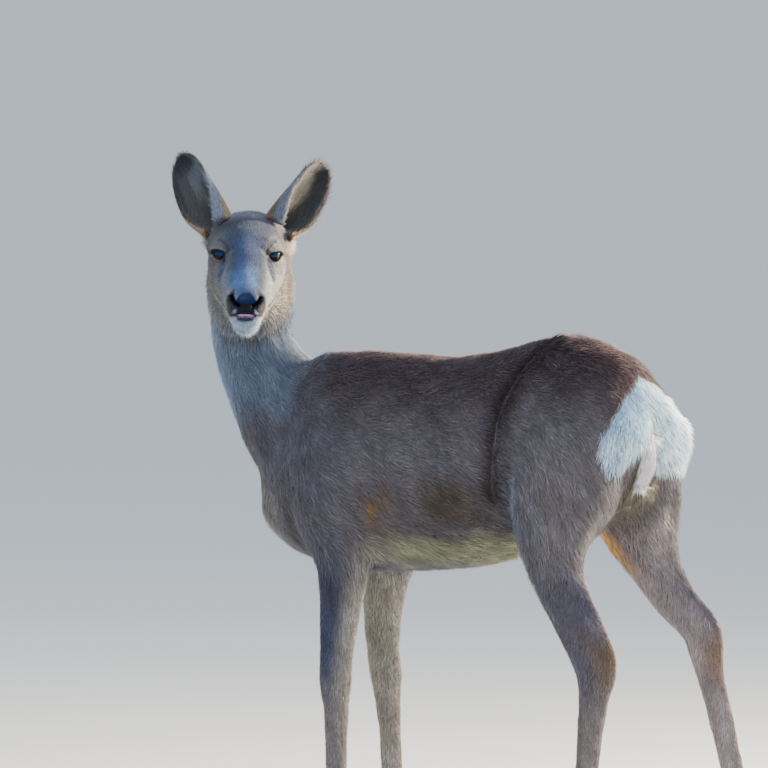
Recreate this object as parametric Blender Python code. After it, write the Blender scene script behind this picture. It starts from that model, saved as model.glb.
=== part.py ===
"""Roe deer doe in winter coat, life size, standing and looking round over its left side.

The solids give the outline out to the tips of the coat. The body is worked out whole, from
lofted trunk, neck, head and legs, and is then parted into its named nodes.
Frame: the body faces -Y, the deer's left is +X, +Z is up, metres, soles on z = 0.
"""
import bpy
import bmesh
import numpy as np
from mathutils import Vector

# ---------------------------------------------------------------- driving dimensions
GAP = 0.0003                    # parting gap between touching nodes
VOXEL = 0.0045                  # grid of the union that the lofts are fused on
BODY_FACES = 4140               # triangles left on the fused body, for all but the head
HEAD_FACES = 7200               # triangles of the finer body that the head is parted from
RING = 28                       # points round a loft
SOFTENING = (0.5, 6)            # strength and passes of the smoothing after the union
SHARP = 50                      # degrees between faces from which an edge is shaded sharp

WITHERS = 0.690                 # height of the back over the shoulders
BACK = 0.687                    # lowest point of the back line
CROUP = 0.719                   # highest point of the rump
BRISKET = 0.403                 # underside of the chest between the elbows
CHIN = 0.718                    # lowest point of the chin

# trunk sections from breast to buttocks: y, half width, top, widest level, underside
TRUNK = {
    "breast":    (-0.322, 0.026, 0.535, 0.495, 0.462),
    "breast_in": (-0.303, 0.050, 0.600, 0.500, 0.442),
    "shoulders": (-0.255, 0.078, 0.678, 0.520, 0.418),
    "withers":   (-0.180, 0.092, WITHERS, 0.535, BRISKET),
    "girth":     (-0.100, 0.099, BACK + 0.002, 0.530, BRISKET + 0.002),
    "barrel":    (-0.020, 0.106, BACK, 0.530, 0.410),
    "belly":     (0.050, 0.104, BACK + 0.009, 0.545, 0.420),
    "flank":     (0.110, 0.095, BACK + 0.024, 0.575, 0.440),
    "hips":      (0.165, 0.090, CROUP, 0.595, 0.462),
    "croup":     (0.225, 0.084, CROUP - 0.013, 0.600, 0.480),
    "tail_root": (0.267, 0.068, CROUP - 0.036, 0.592, 0.500),
    "buttock":   (0.287, 0.047, CROUP - 0.062, 0.585, 0.522),
    "rear":      (0.297, 0.018, CROUP - 0.090, 0.582, 0.550),
}

# neck stations from shoulders to throat: centre, half width, half depth fore and aft
NECK = {
    "root":    ((0.000, -0.175, 0.545), 0.070, 0.100),
    "base":    ((0.000, -0.250, 0.572), 0.069, 0.083),
    "low":     ((0.005, -0.311, 0.625), 0.060, 0.067),
    "middle":  ((0.013, -0.343, 0.690), 0.055, 0.055),
    "high":    ((0.020, -0.343, 0.745), 0.054, 0.058),
    "throat":  ((0.029, -0.338, 0.790), 0.054, 0.056),
    "nape":    ((0.036, -0.334, 0.825), 0.047, 0.045),
}

# the head turns from straight ahead (-Y) round to the left, and bows
HEAD_AT = Vector((0.031, -0.3395, 0.832))    # centre of the back of the skull
HEAD_TURN = 128.0                           # degrees from straight ahead towards the left
HEAD_BOW = 22.0                             # degrees below level
HEAD_ROLL = 2.0                             # degrees, its left side down
HEAD_SQUARENESS = 0.9                       # below 1 the sections are fuller than an ellipse

# head sections from occiput to nose: forward, half width, crown, widest level, underside
HEAD = {
    "occiput":  (-0.022, 0.026, 0.020, 0.000, -0.028),
    "nuchal":   (-0.008, 0.041, 0.036, 0.000, -0.042),
    "poll":     (0.018, 0.048, 0.0435, 0.001, -0.050),
    "crown":    (0.045, 0.0505, 0.0450, -0.002, -0.054),
    "temple":   (0.070, 0.0515, 0.0455, -0.004, -0.057),
    "eyes":     (0.090, 0.0500, 0.0410, -0.007, -0.058),
    "cheek":    (0.110, 0.0450, 0.0345, -0.012, -0.0555),
    "bridge":   (0.135, 0.0365, 0.0265, -0.012, -0.0535),
    "muzzle":   (0.160, 0.0290, 0.0205, -0.010, -0.0535),
    "lips":     (0.180, 0.0262, 0.0165, -0.010, -0.0540),
    "nostrils": (0.195, 0.0250, 0.0110, -0.009, -0.0495),
    "nose_tip": (0.205, 0.0210, 0.0060, -0.010, -0.0375),
    "nose_end": (0.2095, 0.0120, -0.0010, -0.011, -0.0210),
}

EYE_AT = (0.0865, 0.0315, 0.0145)   # forward, aside, up from HEAD_AT
EYE_RADIUS = 0.0140

EAR_ROOT = (0.026, 0.036, 0.019)    # forward, aside, up from HEAD_AT
EAR_LENGTH = 0.118
EAR_WIDTH = 0.061
EAR_WALL = 0.0034
EAR_LEAN = {"left": (-0.73, 0.489, 0.476), "right": (-0.74, 0.42, 0.53)}
EAR_OPENS = (0.93, 0.30)            # forward and aside, where the cup opens to
EAR_GRID = 10                       # points along and across an ear
EAR_WIDEST = (0.50, 0.55)           # share of the length at which it narrows, and is full
EAR_STALK = 0.24                    # how full the leaf is at its root, as part of a half turn
EAR_WRAP = (62, 92, 2.2)            # half angle at the tip, more at the root, and its fading
EAR_LEAST = 0.10                    # least width, as a share of the widest
EAR_TAPER = (1.5, 0.9)              # wall at the root, and what it loses to the tip
EAR_HOLLOW = 0.45                   # least inner radius, as a share of the outer

# legs: joint, fore and aft half depth, sideways half width; x is measured out from the midline
FORELEG = {
    "shoulder": (0.070, 0.034),
    "arm":      (0.060, 0.036),
    "elbow":    (0.045, 0.032),
    "forearm":  (0.0365, 0.0265),
    "shank":    (0.0280, 0.0205),
    "wrist_in": (0.0240, 0.0185),
    "wrist":    (0.0225, 0.0195),
    "cannon":   (0.0160, 0.0145),
    "cannon_b": (0.0135, 0.0120),
    "cannon_c": (0.0135, 0.0125),
    "fetlock":  (0.0165, 0.0170),
    "pastern":  (0.0130, 0.0150),
    "coronet":  (0.0155, 0.0165),
}
FORELEG_NEAR = {
    "shoulder": (0.058, -0.185, 0.560), "arm": (0.068, -0.170, 0.480),
    "elbow": (0.072, -0.152, 0.428), "forearm": (0.072, -0.152, 0.392),
    "shank": (0.070, -0.160, 0.335), "wrist_in": (0.069, -0.164, 0.300),
    "wrist": (0.068, -0.166, 0.270), "cannon": (0.067, -0.166, 0.235),
    "cannon_b": (0.067, -0.166, 0.185), "cannon_c": (0.067, -0.166, 0.125),
    "fetlock": (0.067, -0.169, 0.086), "pastern": (0.067, -0.180, 0.056),
    "coronet": (0.067, -0.190, 0.030),
}
FORELEG_FAR = {
    "shoulder": (0.058, -0.190, 0.560), "arm": (0.068, -0.190, 0.480),
    "elbow": (0.072, -0.188, 0.428), "forearm": (0.073, -0.196, 0.392),
    "shank": (0.072, -0.199, 0.335), "wrist_in": (0.071, -0.197, 0.300),
    "wrist": (0.070, -0.192, 0.270), "cannon": (0.069, -0.188, 0.235),
    "cannon_b": (0.069, -0.184, 0.185), "cannon_c": (0.069, -0.180, 0.125),
    "fetlock": (0.069, -0.181, 0.086), "pastern": (0.069, -0.191, 0.056),
    "coronet": (0.069, -0.201, 0.030),
}
HINDLEG = {
    "hip":      (0.085, 0.044),
    "thigh":    (0.088, 0.047),
    "stifle":   (0.066, 0.040),
    "gaskin":   (0.0450, 0.0300),
    "gaskin_b": (0.0385, 0.0250),
    "tendon":   (0.0360, 0.0215),
    "hock_top": (0.0345, 0.0190),
    "hock":     (0.0320, 0.0190),
    "cannon":   (0.0195, 0.0160),
    "cannon_b": (0.0155, 0.0130),
    "cannon_c": (0.0145, 0.0125),
    "fetlock":  (0.0170, 0.0170),
    "pastern":  (0.0135, 0.0150),
    "coronet":  (0.0155, 0.0165),
}
HINDLEG_STRETCHED = {           # the far leg, with its muscles drawn out backwards
    **HINDLEG,
    "gaskin":   (0.0415, 0.0295),
    "gaskin_b": (0.0335, 0.0240),
    "tendon":   (0.0305, 0.0205),
    "hock_top": (0.0295, 0.0185),
    "hock":     (0.0285, 0.0185),
}
HINDLEG_NEAR = {
    "hip": (0.045, 0.200, 0.610), "thigh": (0.058, 0.200, 0.535),
    "stifle": (0.072, 0.192, 0.470), "gaskin": (0.082, 0.202, 0.425),
    "gaskin_b": (0.084, 0.214, 0.395), "tendon": (0.084, 0.238, 0.355),
    "hock_top": (0.083, 0.257, 0.322), "hock": (0.082, 0.265, 0.294),
    "cannon": (0.081, 0.260, 0.255), "cannon_b": (0.080, 0.253, 0.205),
    "cannon_c": (0.079, 0.244, 0.130), "fetlock": (0.079, 0.238, 0.088),
    "pastern": (0.079, 0.226, 0.057), "coronet": (0.079, 0.214, 0.030),
}
HINDLEG_FAR = {
    "hip": (0.045, 0.205, 0.610), "thigh": (0.054, 0.212, 0.545),
    "stifle": (0.062, 0.222, 0.480), "gaskin": (0.068, 0.2425, 0.427),
    "gaskin_b": (0.071, 0.2655, 0.391), "tendon": (0.074, 0.2925, 0.363),
    "hock_top": (0.076, 0.311, 0.347), "hock": (0.078, 0.318, 0.322),
    "cannon": (0.080, 0.325, 0.285), "cannon_b": (0.083, 0.338, 0.235),
    "cannon_c": (0.087, 0.358, 0.150), "fetlock": (0.089, 0.366, 0.100),
    "pastern": (0.089, 0.366, 0.066), "coronet": (0.089, 0.361, 0.034),
}

# forms on each side: place, radius, and how far the surface moves there
BODY_FORMS = {                  # x out from the midline, y, z
    "shoulder_blade": ((0.085, -0.175, 0.540), 0.10, (0.006, 0.0, 0.0)),
    "haunch":         ((0.090, 0.165, 0.580), 0.10, (0.010, 0.0, 0.0)),
    "buttock":        ((0.052, 0.288, 0.597), 0.08, (0.003, 0.022, 0.0)),
    "flank_hollow":   ((0.100, 0.085, 0.560), 0.07, (-0.006, 0.0, 0.0)),
}
BUTTOCK_CLEFT = ((0.0, 0.310, 0.560), (0.022, 0.06, 0.09), (0.0, -0.012, 0.0))
HEAD_FORMS = {                  # forward, aside, up from HEAD_AT
    "brow":        ((0.083, 0.034, 0.030), 0.022, (0.001, 0.0045, 0.0035)),
    "eye_hollow":  ((0.105, 0.037, 0.011), 0.024, (0.0, -0.0085, 0.0)),
    "jaw":         ((0.060, 0.040, -0.030), 0.035, (0.0, 0.0050, 0.0)),
    "ear_base":    ((0.010, 0.046, 0.000), 0.034, (-0.002, 0.0110, 0.0)),
    "nose_side":   ((0.150, 0.028, 0.010), 0.030, (0.0, -0.0025, 0.0)),
    "nostril":     ((0.190, 0.022, -0.002), 0.014, (0.0, 0.0025, 0.0)),
    "upper_lip":   ((0.175, 0.020, -0.030), 0.018, (0.0, 0.0015, 0.0)),
}
HEAD_MIDLINE = {
    "chin":     ((0.178, 0.0, -0.045), 0.022, (0.0, 0.0, -0.003)),
    "mouth":    ((0.200, 0.0, -0.024), 0.012, (-0.004, 0.0, 0.0)),
}

HOOF_LENGTH = 0.043
HOOF_WIDTH = 0.0165
HOOF_TOE_HEIGHT = 0.032
HOOF_HEEL_HEIGHT = 0.019
HOOF_AHEAD = 0.010              # middle of a hoof before its coronet
HOOF_POINTS = 14
HOOF_RINGS = (                  # share of the height, size, and how far the front leans back
    (0.0, 0.97, 0.0), (0.12, 1.0, 0.002), (0.6, 0.93, 0.009), (1.0, 0.84, 0.015),
)
HOOF_POINT = (0.5, 0.7)         # width left at the toe, and how bluntly it comes to it
CLEFT = 0.0016                  # half the gap between the two toes of a foot
DEWCLAW = (0.0052, 0.0065, 0.0105)          # half sizes of a dewclaw
DEWCLAW_AT = (0.0115, 0.0155, -0.010)       # aside, behind and up from the fetlock
DEWCLAW_TAPER = (0.35, 0.30, 0.003)         # narrower, thinner and further back at its point

TUSH_AT = Vector((0.0, 0.292, 0.592))       # where the tuft under the tail grows
TUSH_LENGTH = 0.076
TUSH_WIDTH = 0.013
TUSH_ASIDE = 0.002                          # it hangs a little to the left
TUSH_SWING = (0.010, 0.8, 0.014)            # it arches back, then hangs in again
TUSH_GIRTH = (0.45, 0.75, 0.12, 0.80)       # least, swell, and where along it the swell lies
TUSH_FLATNESS = 0.75
TUSH_RINGS = 7
TUSH_SIDES = 12

# where the body is parted, as planes of a point and the direction that is left behind
HEAD_CUT = (0.030, -0.055, 0.66, 0.75)      # throat forward and up, and the plane's lean
CHIN_CUT = ((0, 0, CHIN - 0.008), (0, 0, -1))
NAPE_CUT = ((0, -0.05, 0), (0, 1, 0))
NECK_CUT = ((0.0, -0.262, 0.600), (0.0, 0.82, -0.57))
NOSE_CUT = (0.1935, -0.021)                 # its back, and its lower edge at the mouth
ELBOW_REACH = (0.062, 0.185)                # behind the elbow, and from there to the breast
ARMPIT = (0.040, 0.004)                     # out from the midline, up from the brisket
GROIN = (0.012, 0.442)                      # out from the midline, level
FLANK_CUT = ((0, 0.105, 0.442), (0, -1, -0.25))
BETWEEN_LEGS = {"fore": 0.002, "hind": 0.008}

COLOURS = {
    "trunk": (0.115, 0.085, 0.062), "neck": (0.150, 0.130, 0.115),
    "head": (0.170, 0.130, 0.100), "leg": (0.170, 0.120, 0.080),
    "ear": (0.110, 0.080, 0.060), "eye": (0.010, 0.007, 0.006),
    "nose": (0.012, 0.010, 0.011), "hoof": (0.030, 0.024, 0.020),
    "tail": (0.720, 0.680, 0.620),
}
ROUGHNESS = {"eye": 0.15, "nose": 0.4, "hoof": 0.4}     # all the rest is coat
COAT_ROUGHNESS = 0.9


# ---------------------------------------------------------------- mesh helpers
def add_object(name, vertices, faces):
    """An object of the given name with the mesh, its faces turned outwards."""
    mesh = bpy.data.meshes.new(name)
    mesh.from_pydata([tuple(map(float, v)) for v in vertices], [], faces)
    shape = bmesh.new()
    shape.from_mesh(mesh)
    bmesh.ops.recalc_face_normals(shape, faces=shape.faces)
    shape.to_mesh(mesh)
    shape.free()
    thing = bpy.data.objects.new(name, mesh)
    bpy.context.collection.objects.link(thing)
    return thing


def settle(thing):
    """Replaces an object's mesh by what its modifiers make of it."""
    bpy.context.view_layer.update()
    evaluated = thing.evaluated_get(bpy.context.evaluated_depsgraph_get())
    mesh = bpy.data.meshes.new_from_object(evaluated)
    thing.modifiers.clear()
    thing.data = mesh
    return thing


def spline(table, steps):
    """Rows of a table, read at `steps` places between each two rows on a Catmull-Rom curve."""
    rows = np.array(table, float)
    padded = np.vstack([2 * rows[0] - rows[1], rows, 2 * rows[-1] - rows[-2]])
    out = []
    for i in range(1, len(padded) - 2):
        before, here, after, beyond = padded[i - 1:i + 3]
        for t in np.arange(steps) / steps:
            out.append(0.5 * (2 * here + (after - before) * t
                              + (2 * before - 5 * here + 4 * after - beyond) * t ** 2
                              + (3 * here - before - 3 * after + beyond) * t ** 3))
    out.append(rows[-1])
    return np.array(out)


def skin_rings(name, rings):
    """A closed body through rings of equal count, its two ends closed by fans."""
    count = len(rings[0])
    points = np.vstack([np.vstack(rings), rings[0].mean(axis=0), rings[-1].mean(axis=0)])
    faces = []
    for r in range(len(rings) - 1):
        for k in range(count):
            a, b = r * count + k, r * count + (k + 1) % count
            faces.append((a, b, b + count, a + count))
    first, last = len(points) - 2, len(points) - 1
    top = (len(rings) - 1) * count
    for k in range(count):
        faces.append((first, (k + 1) % count, k))
        faces.append((last, top + k, top + (k + 1) % count))
    return add_object(name, points, faces)


def egg_ring(half_width, top, widest, under, squareness=1.0):
    """Sideways and upward coordinates round a section that is widest at its own level."""
    angle = np.linspace(0, 2 * np.pi, RING, endpoint=False)
    across, rise = np.cos(angle), np.sin(angle)
    across = np.sign(across) * np.abs(across) ** squareness
    reach = np.where(rise > 0, top - widest, widest - under)
    return half_width * across, widest + reach * rise


def tube_along(name, stations, steps=4, sides=RING):
    """A loft of ellipses square to a path: stations hold x, y, z, half depth, half width."""
    rows = spline(stations, steps)
    path = rows[:, :3]
    run = np.gradient(path, axis=0)
    run /= np.linalg.norm(run, axis=1)[:, None]
    angle = np.linspace(0, 2 * np.pi, sides, endpoint=False)
    rings = []
    for centre, ahead, depth, width in zip(path, run, rows[:, 3], rows[:, 4]):
        side = np.array([1.0, 0.0, 0.0])
        side -= ahead * side.dot(ahead)
        side /= np.linalg.norm(side)
        front = np.cross(side, ahead)
        rings.append(centre + np.outer(np.cos(angle) * width, side)
                     + np.outer(np.sin(angle) * depth, front))
    return skin_rings(name, rings)


def region(name, planes, grow=0.0):
    """A closed block: what of a 3 m cube lies behind all the planes (point, outward normal)."""
    shape = bmesh.new()
    bmesh.ops.create_cube(shape, size=3.0)
    for point, normal in planes:
        outward = Vector(normal).normalized()
        cut = bmesh.ops.bisect_plane(
            shape, geom=shape.verts[:] + shape.edges[:] + shape.faces[:],
            plane_co=Vector(point) + outward * grow, plane_no=outward, clear_outer=True)
        rim = [e for e in cut["geom_cut"] if isinstance(e, bmesh.types.BMEdge)]
        bmesh.ops.contextual_create(shape, geom=rim)
    bmesh.ops.recalc_face_normals(shape, faces=shape.faces)
    mesh = bpy.data.meshes.new(name)
    shape.to_mesh(mesh)
    shape.free()
    block = bpy.data.objects.new(name, mesh)
    bpy.context.collection.objects.link(block)
    return block


def boolean(thing, tool, operation):
    """Applies one exact boolean to `thing`; the tool stays as it is."""
    step = thing.modifiers.new(operation, "BOOLEAN")
    step.operation = operation
    step.solver = "EXACT"
    step.object = tool
    return settle(thing)


def remove(thing):
    """Takes a tool away once it has done its work."""
    bpy.data.objects.remove(thing)


def copy_of(thing, name):
    """A second object with its own mesh."""
    double = thing.copy()
    double.data = thing.data.copy()
    double.name = name
    bpy.context.collection.objects.link(double)
    return double


def grown(thing, by):
    """A copy whose surface stands off by a small distance along its normals."""
    swollen = copy_of(thing, thing.name + "_grown")
    shape = bmesh.new()
    shape.from_mesh(swollen.data)
    shape.normal_update()
    moves = [v.normal * by * v.calc_shell_factor() for v in shape.verts]
    for vertex, move in zip(shape.verts, moves):
        vertex.co += move
    shape.to_mesh(swollen.data)
    shape.free()
    return swollen


def part_off(body, name, planes, finer=None):
    """Parts what lies behind the planes from the body, or from a finer one, with a gap."""
    piece = copy_of(finer or body, name)
    block = region(name + "_block", planes)
    boolean(piece, block, "INTERSECT")
    remove(block)
    block = region(name + "_block", planes, GAP)
    boolean(body, block, "DIFFERENCE")
    remove(block)
    return piece


def clear_of(thing, neighbour):
    """Cuts a thing back to a gap from its neighbour's surface."""
    tool = grown(neighbour, GAP)
    boolean(thing, tool, "DIFFERENCE")
    remove(tool)
    return thing


def keep_largest(thing):
    """Drops crumbs that a cut leaves: only the body with the most vertices stays."""
    shape = bmesh.new()
    shape.from_mesh(thing.data)
    left = set(shape.verts)
    bodies = []
    while left:
        stack = [left.pop()]
        island = set(stack)
        while stack:
            for edge in stack.pop().link_edges:
                for vertex in edge.verts:
                    if vertex in left:
                        left.discard(vertex)
                        island.add(vertex)
                        stack.append(vertex)
        bodies.append(island)
    bodies.sort(key=len)
    crumbs = [v for island in bodies[:-1] for v in island]
    bmesh.ops.delete(shape, geom=crumbs, context="VERTS")
    shape.to_mesh(thing.data)
    shape.free()
    return thing


# ---------------------------------------------------------------- the head's own frame
def head_axes():
    """Forward, left and up directions of the turned and bowed head."""
    turn, bow, roll = np.radians([HEAD_TURN, HEAD_BOW, HEAD_ROLL])
    level = Vector((np.sin(turn), -np.cos(turn), 0.0))
    left = Vector((0, 0, 1)).cross(level)
    forward = level * np.cos(bow) - Vector((0, 0, 1)) * np.sin(bow)
    up = forward.cross(left)
    rolled_left = left * np.cos(roll) - up * np.sin(roll)
    rolled_up = up * np.cos(roll) + left * np.sin(roll)
    return forward, rolled_left, rolled_up


FORWARD, LEFT, UP = head_axes()


def head_point(forward, aside, up):
    """A place given in the head's frame, in metres of the model."""
    return HEAD_AT + FORWARD * forward + LEFT * aside + UP * up


# ---------------------------------------------------------------- sculpting
def swell(thing, at, radius, push):
    """Moves the surface near a point by `push`, fading smoothly to nothing at `radius`."""
    co = np.empty(len(thing.data.vertices) * 3)
    thing.data.vertices.foreach_get("co", co)
    co = co.reshape(-1, 3)
    far = np.linalg.norm((co - np.array(at)) / np.array(radius), axis=1)
    weight = np.clip(1 - far ** 2, 0, 1) ** 2
    co += weight[:, None] * np.array(push)
    thing.data.vertices.foreach_set("co", co.ravel())
    thing.data.update()


def both_sides(thing, at, radius, push):
    """A swelling in the head's frame, on its left and its right."""
    for side in (1, -1):
        place = head_point(at[0], at[1] * side, at[2])
        move = FORWARD * push[0] + LEFT * push[1] * side + UP * push[2]
        swell(thing, place, radius, move)


# ---------------------------------------------------------------- the body
def loft_trunk():
    """The trunk, one egg-shaped section for each named place."""
    rings = []
    for y, half_width, top, widest, under in spline(list(TRUNK.values()), 3):
        across, height = egg_ring(half_width, top, widest, under)
        rings.append(np.column_stack([across, np.full(RING, y), height]))
    return skin_rings("trunk_loft", rings)


def loft_head():
    """The head, sections square to its own forward axis."""
    rings = []
    for forward, half_width, top, widest, under in spline(list(HEAD.values()), 3):
        across, height = egg_ring(half_width, top, widest, under, HEAD_SQUARENESS)
        rings.append(np.array([head_point(forward, a, h) for a, h in zip(across, height)]))
    return skin_rings("head_loft", rings)


def loft_neck():
    """The neck, a tube from between the shoulders to behind the ears."""
    rows = [(*centre, depth, width) for centre, width, depth in NECK.values()]
    return tube_along("neck_loft", rows)


def loft_leg(name, joints, girths, side):
    """A leg through its joints, with its girth at each."""
    rows = [(x * side, y, z, *girths[joint]) for joint, (x, y, z) in joints.items()]
    return tube_along(name, rows, 3)


def fuse(lofts):
    """One closed body from overlapping lofts, on a fine grid, smoothed."""
    shape = bmesh.new()
    for loft in lofts:
        shape.from_mesh(loft.data)
    mesh = bpy.data.meshes.new("body")
    shape.to_mesh(mesh)
    shape.free()
    for loft in lofts:
        remove(loft)
    body = bpy.data.objects.new("body", mesh)
    bpy.context.collection.objects.link(body)
    grid = body.modifiers.new("grid", "REMESH")
    grid.mode = "VOXEL"
    grid.voxel_size = VOXEL
    soft = body.modifiers.new("soft", "SMOOTH")
    soft.factor, soft.iterations = SOFTENING
    return settle(body)


def shape_body(body):
    """Muscle and fold forms that the lofts don't hold."""
    for place, radius, push in BODY_FORMS.values():
        for side in (1, -1):
            swell(body, (place[0] * side, *place[1:]), radius, (push[0] * side, *push[1:]))
    swell(body, *BUTTOCK_CLEFT)


def shape_head(body):
    """Brow, cheek, muzzle and chin, and the hollows before the eyes."""
    for place, radius, push in HEAD_FORMS.values():
        both_sides(body, place, radius, push)
    for (forward, aside, up), radius, push in HEAD_MIDLINE.values():
        swell(body, head_point(forward, aside, up), radius, FORWARD * push[0] + UP * push[2])


def thin_out(body, triangles):
    """Fewer faces, with the form kept."""
    faces = sum(len(p.vertices) - 2 for p in body.data.polygons)
    fewer = body.modifiers.new("fewer", "DECIMATE")
    fewer.ratio = triangles / faces
    fewer.use_collapse_triangulate = True
    return settle(body)


# ---------------------------------------------------------------- loose parts
def make_hoof(name, foot, toe_side, foot_side):
    """One toe of a foot: a flat sole, a steep pointed front wall and a low heel."""
    x, y, _ = foot
    angle = np.linspace(0, 2 * np.pi, HOOF_POINTS, endpoint=False)
    toe_width, bluntness = HOOF_POINT
    rings = []
    for level, shrink, back in HOOF_RINGS:
        fore = -np.cos(angle)
        blunt = toe_width + (1 - toe_width) * np.clip(1 - fore, 0, 1) ** bluntness
        wide = np.sin(angle) * HOOF_WIDTH / 2 * shrink * np.where(fore > 0, blunt, 1.0)
        along = -fore * HOOF_LENGTH / 2 * shrink + back * (fore + 1) / 2
        tall = HOOF_HEEL_HEIGHT + (HOOF_TOE_HEIGHT - HOOF_HEEL_HEIGHT) * (fore + 1) / 2
        across = toe_side * (CLEFT + HOOF_WIDTH / 2) + wide
        rings.append(np.column_stack(
            [x * foot_side + across, y - HOOF_AHEAD + along, tall * level]))
    return skin_rings(name, rings)


def make_dewclaw(name, fetlock, toe_side, foot_side):
    """The small horn cone behind and above the hooves, one on each side."""
    x, y, z = fetlock
    aside, behind, up = DEWCLAW_AT
    centre = (x * foot_side + aside * toe_side, y + behind, z + up)
    narrower, thinner, back = DEWCLAW_TAPER
    shape = bmesh.new()
    bmesh.ops.create_uvsphere(shape, u_segments=8, v_segments=5, radius=1.0)
    for vertex in shape.verts:
        low = 0.5 - vertex.co.z / 2
        vertex.co.x = vertex.co.x * DEWCLAW[0] * (1 - narrower * low) + centre[0]
        vertex.co.y = vertex.co.y * DEWCLAW[1] * (1 - thinner * low) + centre[1] + back * low
        vertex.co.z = vertex.co.z * DEWCLAW[2] + centre[2]
    mesh = bpy.data.meshes.new(name)
    shape.to_mesh(mesh)
    shape.free()
    claw = bpy.data.objects.new(name, mesh)
    bpy.context.collection.objects.link(claw)
    return claw


def ear_leaf(t):
    """Width of the ear at a share of its length, against its widest."""
    narrows, full = EAR_WIDEST
    rise = np.sin(np.pi * min(0.5, EAR_STALK + 0.55 * t)) if t < full else 1.0
    return rise * np.sqrt(max(0.0, 1 - max(0.0, (t - narrows) / (1 - narrows)) ** 2.3))


def make_ear(name, side, lean):
    """A leaf-shaped cup, open to the front, rolled in at its root and of even wall."""
    root = head_point(EAR_ROOT[0], EAR_ROOT[1] * side, EAR_ROOT[2])
    axis = (FORWARD * lean[0] + LEFT * lean[1] * side + UP * lean[2]).normalized()
    faces_to = FORWARD * EAR_OPENS[0] + LEFT * EAR_OPENS[1] * side
    front = (faces_to - axis * faces_to.dot(axis)).normalized()
    across = axis.cross(front)
    tip_wrap, root_wrap, fading = EAR_WRAP
    grid = np.zeros((EAR_GRID, EAR_GRID, 3))
    inner = np.zeros((EAR_GRID, EAR_GRID, 3))
    for r in range(EAR_GRID):
        t = r / (EAR_GRID - 1)
        half = EAR_WIDTH / 2 * max(ear_leaf(t), EAR_LEAST)
        wrap = np.radians(tip_wrap + root_wrap * (1 - t) ** fading)
        radius = half / np.sin(min(wrap, np.pi / 2))
        wall = EAR_WALL * (EAR_TAPER[0] - EAR_TAPER[1] * t)
        for c in range(EAR_GRID):
            turn = wrap * (2 * c / (EAR_GRID - 1) - 1)
            out = np.array(across) * np.sin(turn) - np.array(front) * np.cos(turn)
            centre = np.array(root + axis * EAR_LENGTH * t + front * radius * np.cos(wrap * 0.6))
            grid[r, c] = centre + out * radius
            inner[r, c] = centre + out * max(radius - wall, radius * EAR_HOLLOW)
    return shell(name, grid, inner)


def shell(name, outer, inner):
    """A closed thin body between two like grids."""
    rows, columns = outer.shape[:2]
    points = np.vstack([outer.reshape(-1, 3), inner.reshape(-1, 3)])
    shift = rows * columns
    faces = []
    for r in range(rows - 1):
        for c in range(columns - 1):
            a, b = r * columns + c, (r + 1) * columns + c
            faces.append((a, a + 1, b + 1, b))
            faces.append((a + shift, b + shift, b + 1 + shift, a + 1 + shift))
    rim = [(0, c) for c in range(columns)] + [(r, columns - 1) for r in range(1, rows)]
    rim += [(rows - 1, c) for c in range(columns - 2, -1, -1)]
    rim += [(r, 0) for r in range(rows - 2, 0, -1)]
    ids = [r * columns + c for r, c in rim]
    for a, b in zip(ids, ids[1:] + ids[:1]):
        faces.append((a, b, b + shift, a + shift))
    return add_object(name, points, faces)


def make_tush():
    """The hanging tuft of long pale hair below the tail."""
    arch, arch_at, hang_in = TUSH_SWING
    least, swell_by, swell_from, swell_over = TUSH_GIRTH
    rows = []
    for t in np.linspace(0, 1, TUSH_RINGS):
        swing = arch * np.sin(np.pi * t * arch_at)
        swelling = np.sin(np.pi * min(1.0, swell_from + swell_over * t))
        size = TUSH_WIDTH * (least + swell_by * swelling)
        rows.append((TUSH_ASIDE, TUSH_AT.y + swing - hang_in * t, TUSH_AT.z - TUSH_LENGTH * t,
                     size * TUSH_FLATNESS, size))
    return tube_along("tail_tuft", rows, 1, TUSH_SIDES)


def make_eye(name, side):
    """The eyeball, set in its socket."""
    shape = bmesh.new()
    bmesh.ops.create_uvsphere(shape, u_segments=16, v_segments=10, radius=EYE_RADIUS)
    centre = head_point(EYE_AT[0], EYE_AT[1] * side, EYE_AT[2])
    bmesh.ops.translate(shape, vec=centre, verts=shape.verts)
    mesh = bpy.data.meshes.new(name)
    shape.to_mesh(mesh)
    shape.free()
    ball = bpy.data.objects.new(name, mesh)
    bpy.context.collection.objects.link(ball)
    return ball


# ---------------------------------------------------------------- finish
def paint(thing, colour):
    """Each node's own plain material."""
    material = bpy.data.materials.new(thing.name)
    material.use_nodes = True
    shader = material.node_tree.nodes["Principled BSDF"]
    shader.inputs["Base Color"].default_value = (*COLOURS[colour], 1.0)
    shader.inputs["Roughness"].default_value = ROUGHNESS.get(colour, COAT_ROUGHNESS)
    shader.inputs["Metallic"].default_value = 0.0
    thing.data.materials.clear()
    thing.data.materials.append(material)
    thing.data.shade_smooth()
    thing.data.set_sharp_from_angle(angle=np.radians(SHARP))


def stand_on_origin(things):
    """Moves all nodes so that the middle of the whole box lies over the origin."""
    low = np.min([np.min([v.co for v in t.data.vertices], axis=0) for t in things], axis=0)
    high = np.max([np.max([v.co for v in t.data.vertices], axis=0) for t in things], axis=0)
    shift = Vector((-(low[0] + high[0]) / 2, -(low[1] + high[1]) / 2, -low[2]))
    for thing in things:
        for vertex in thing.data.vertices:
            vertex.co += shift
        thing.data.update()


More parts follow.
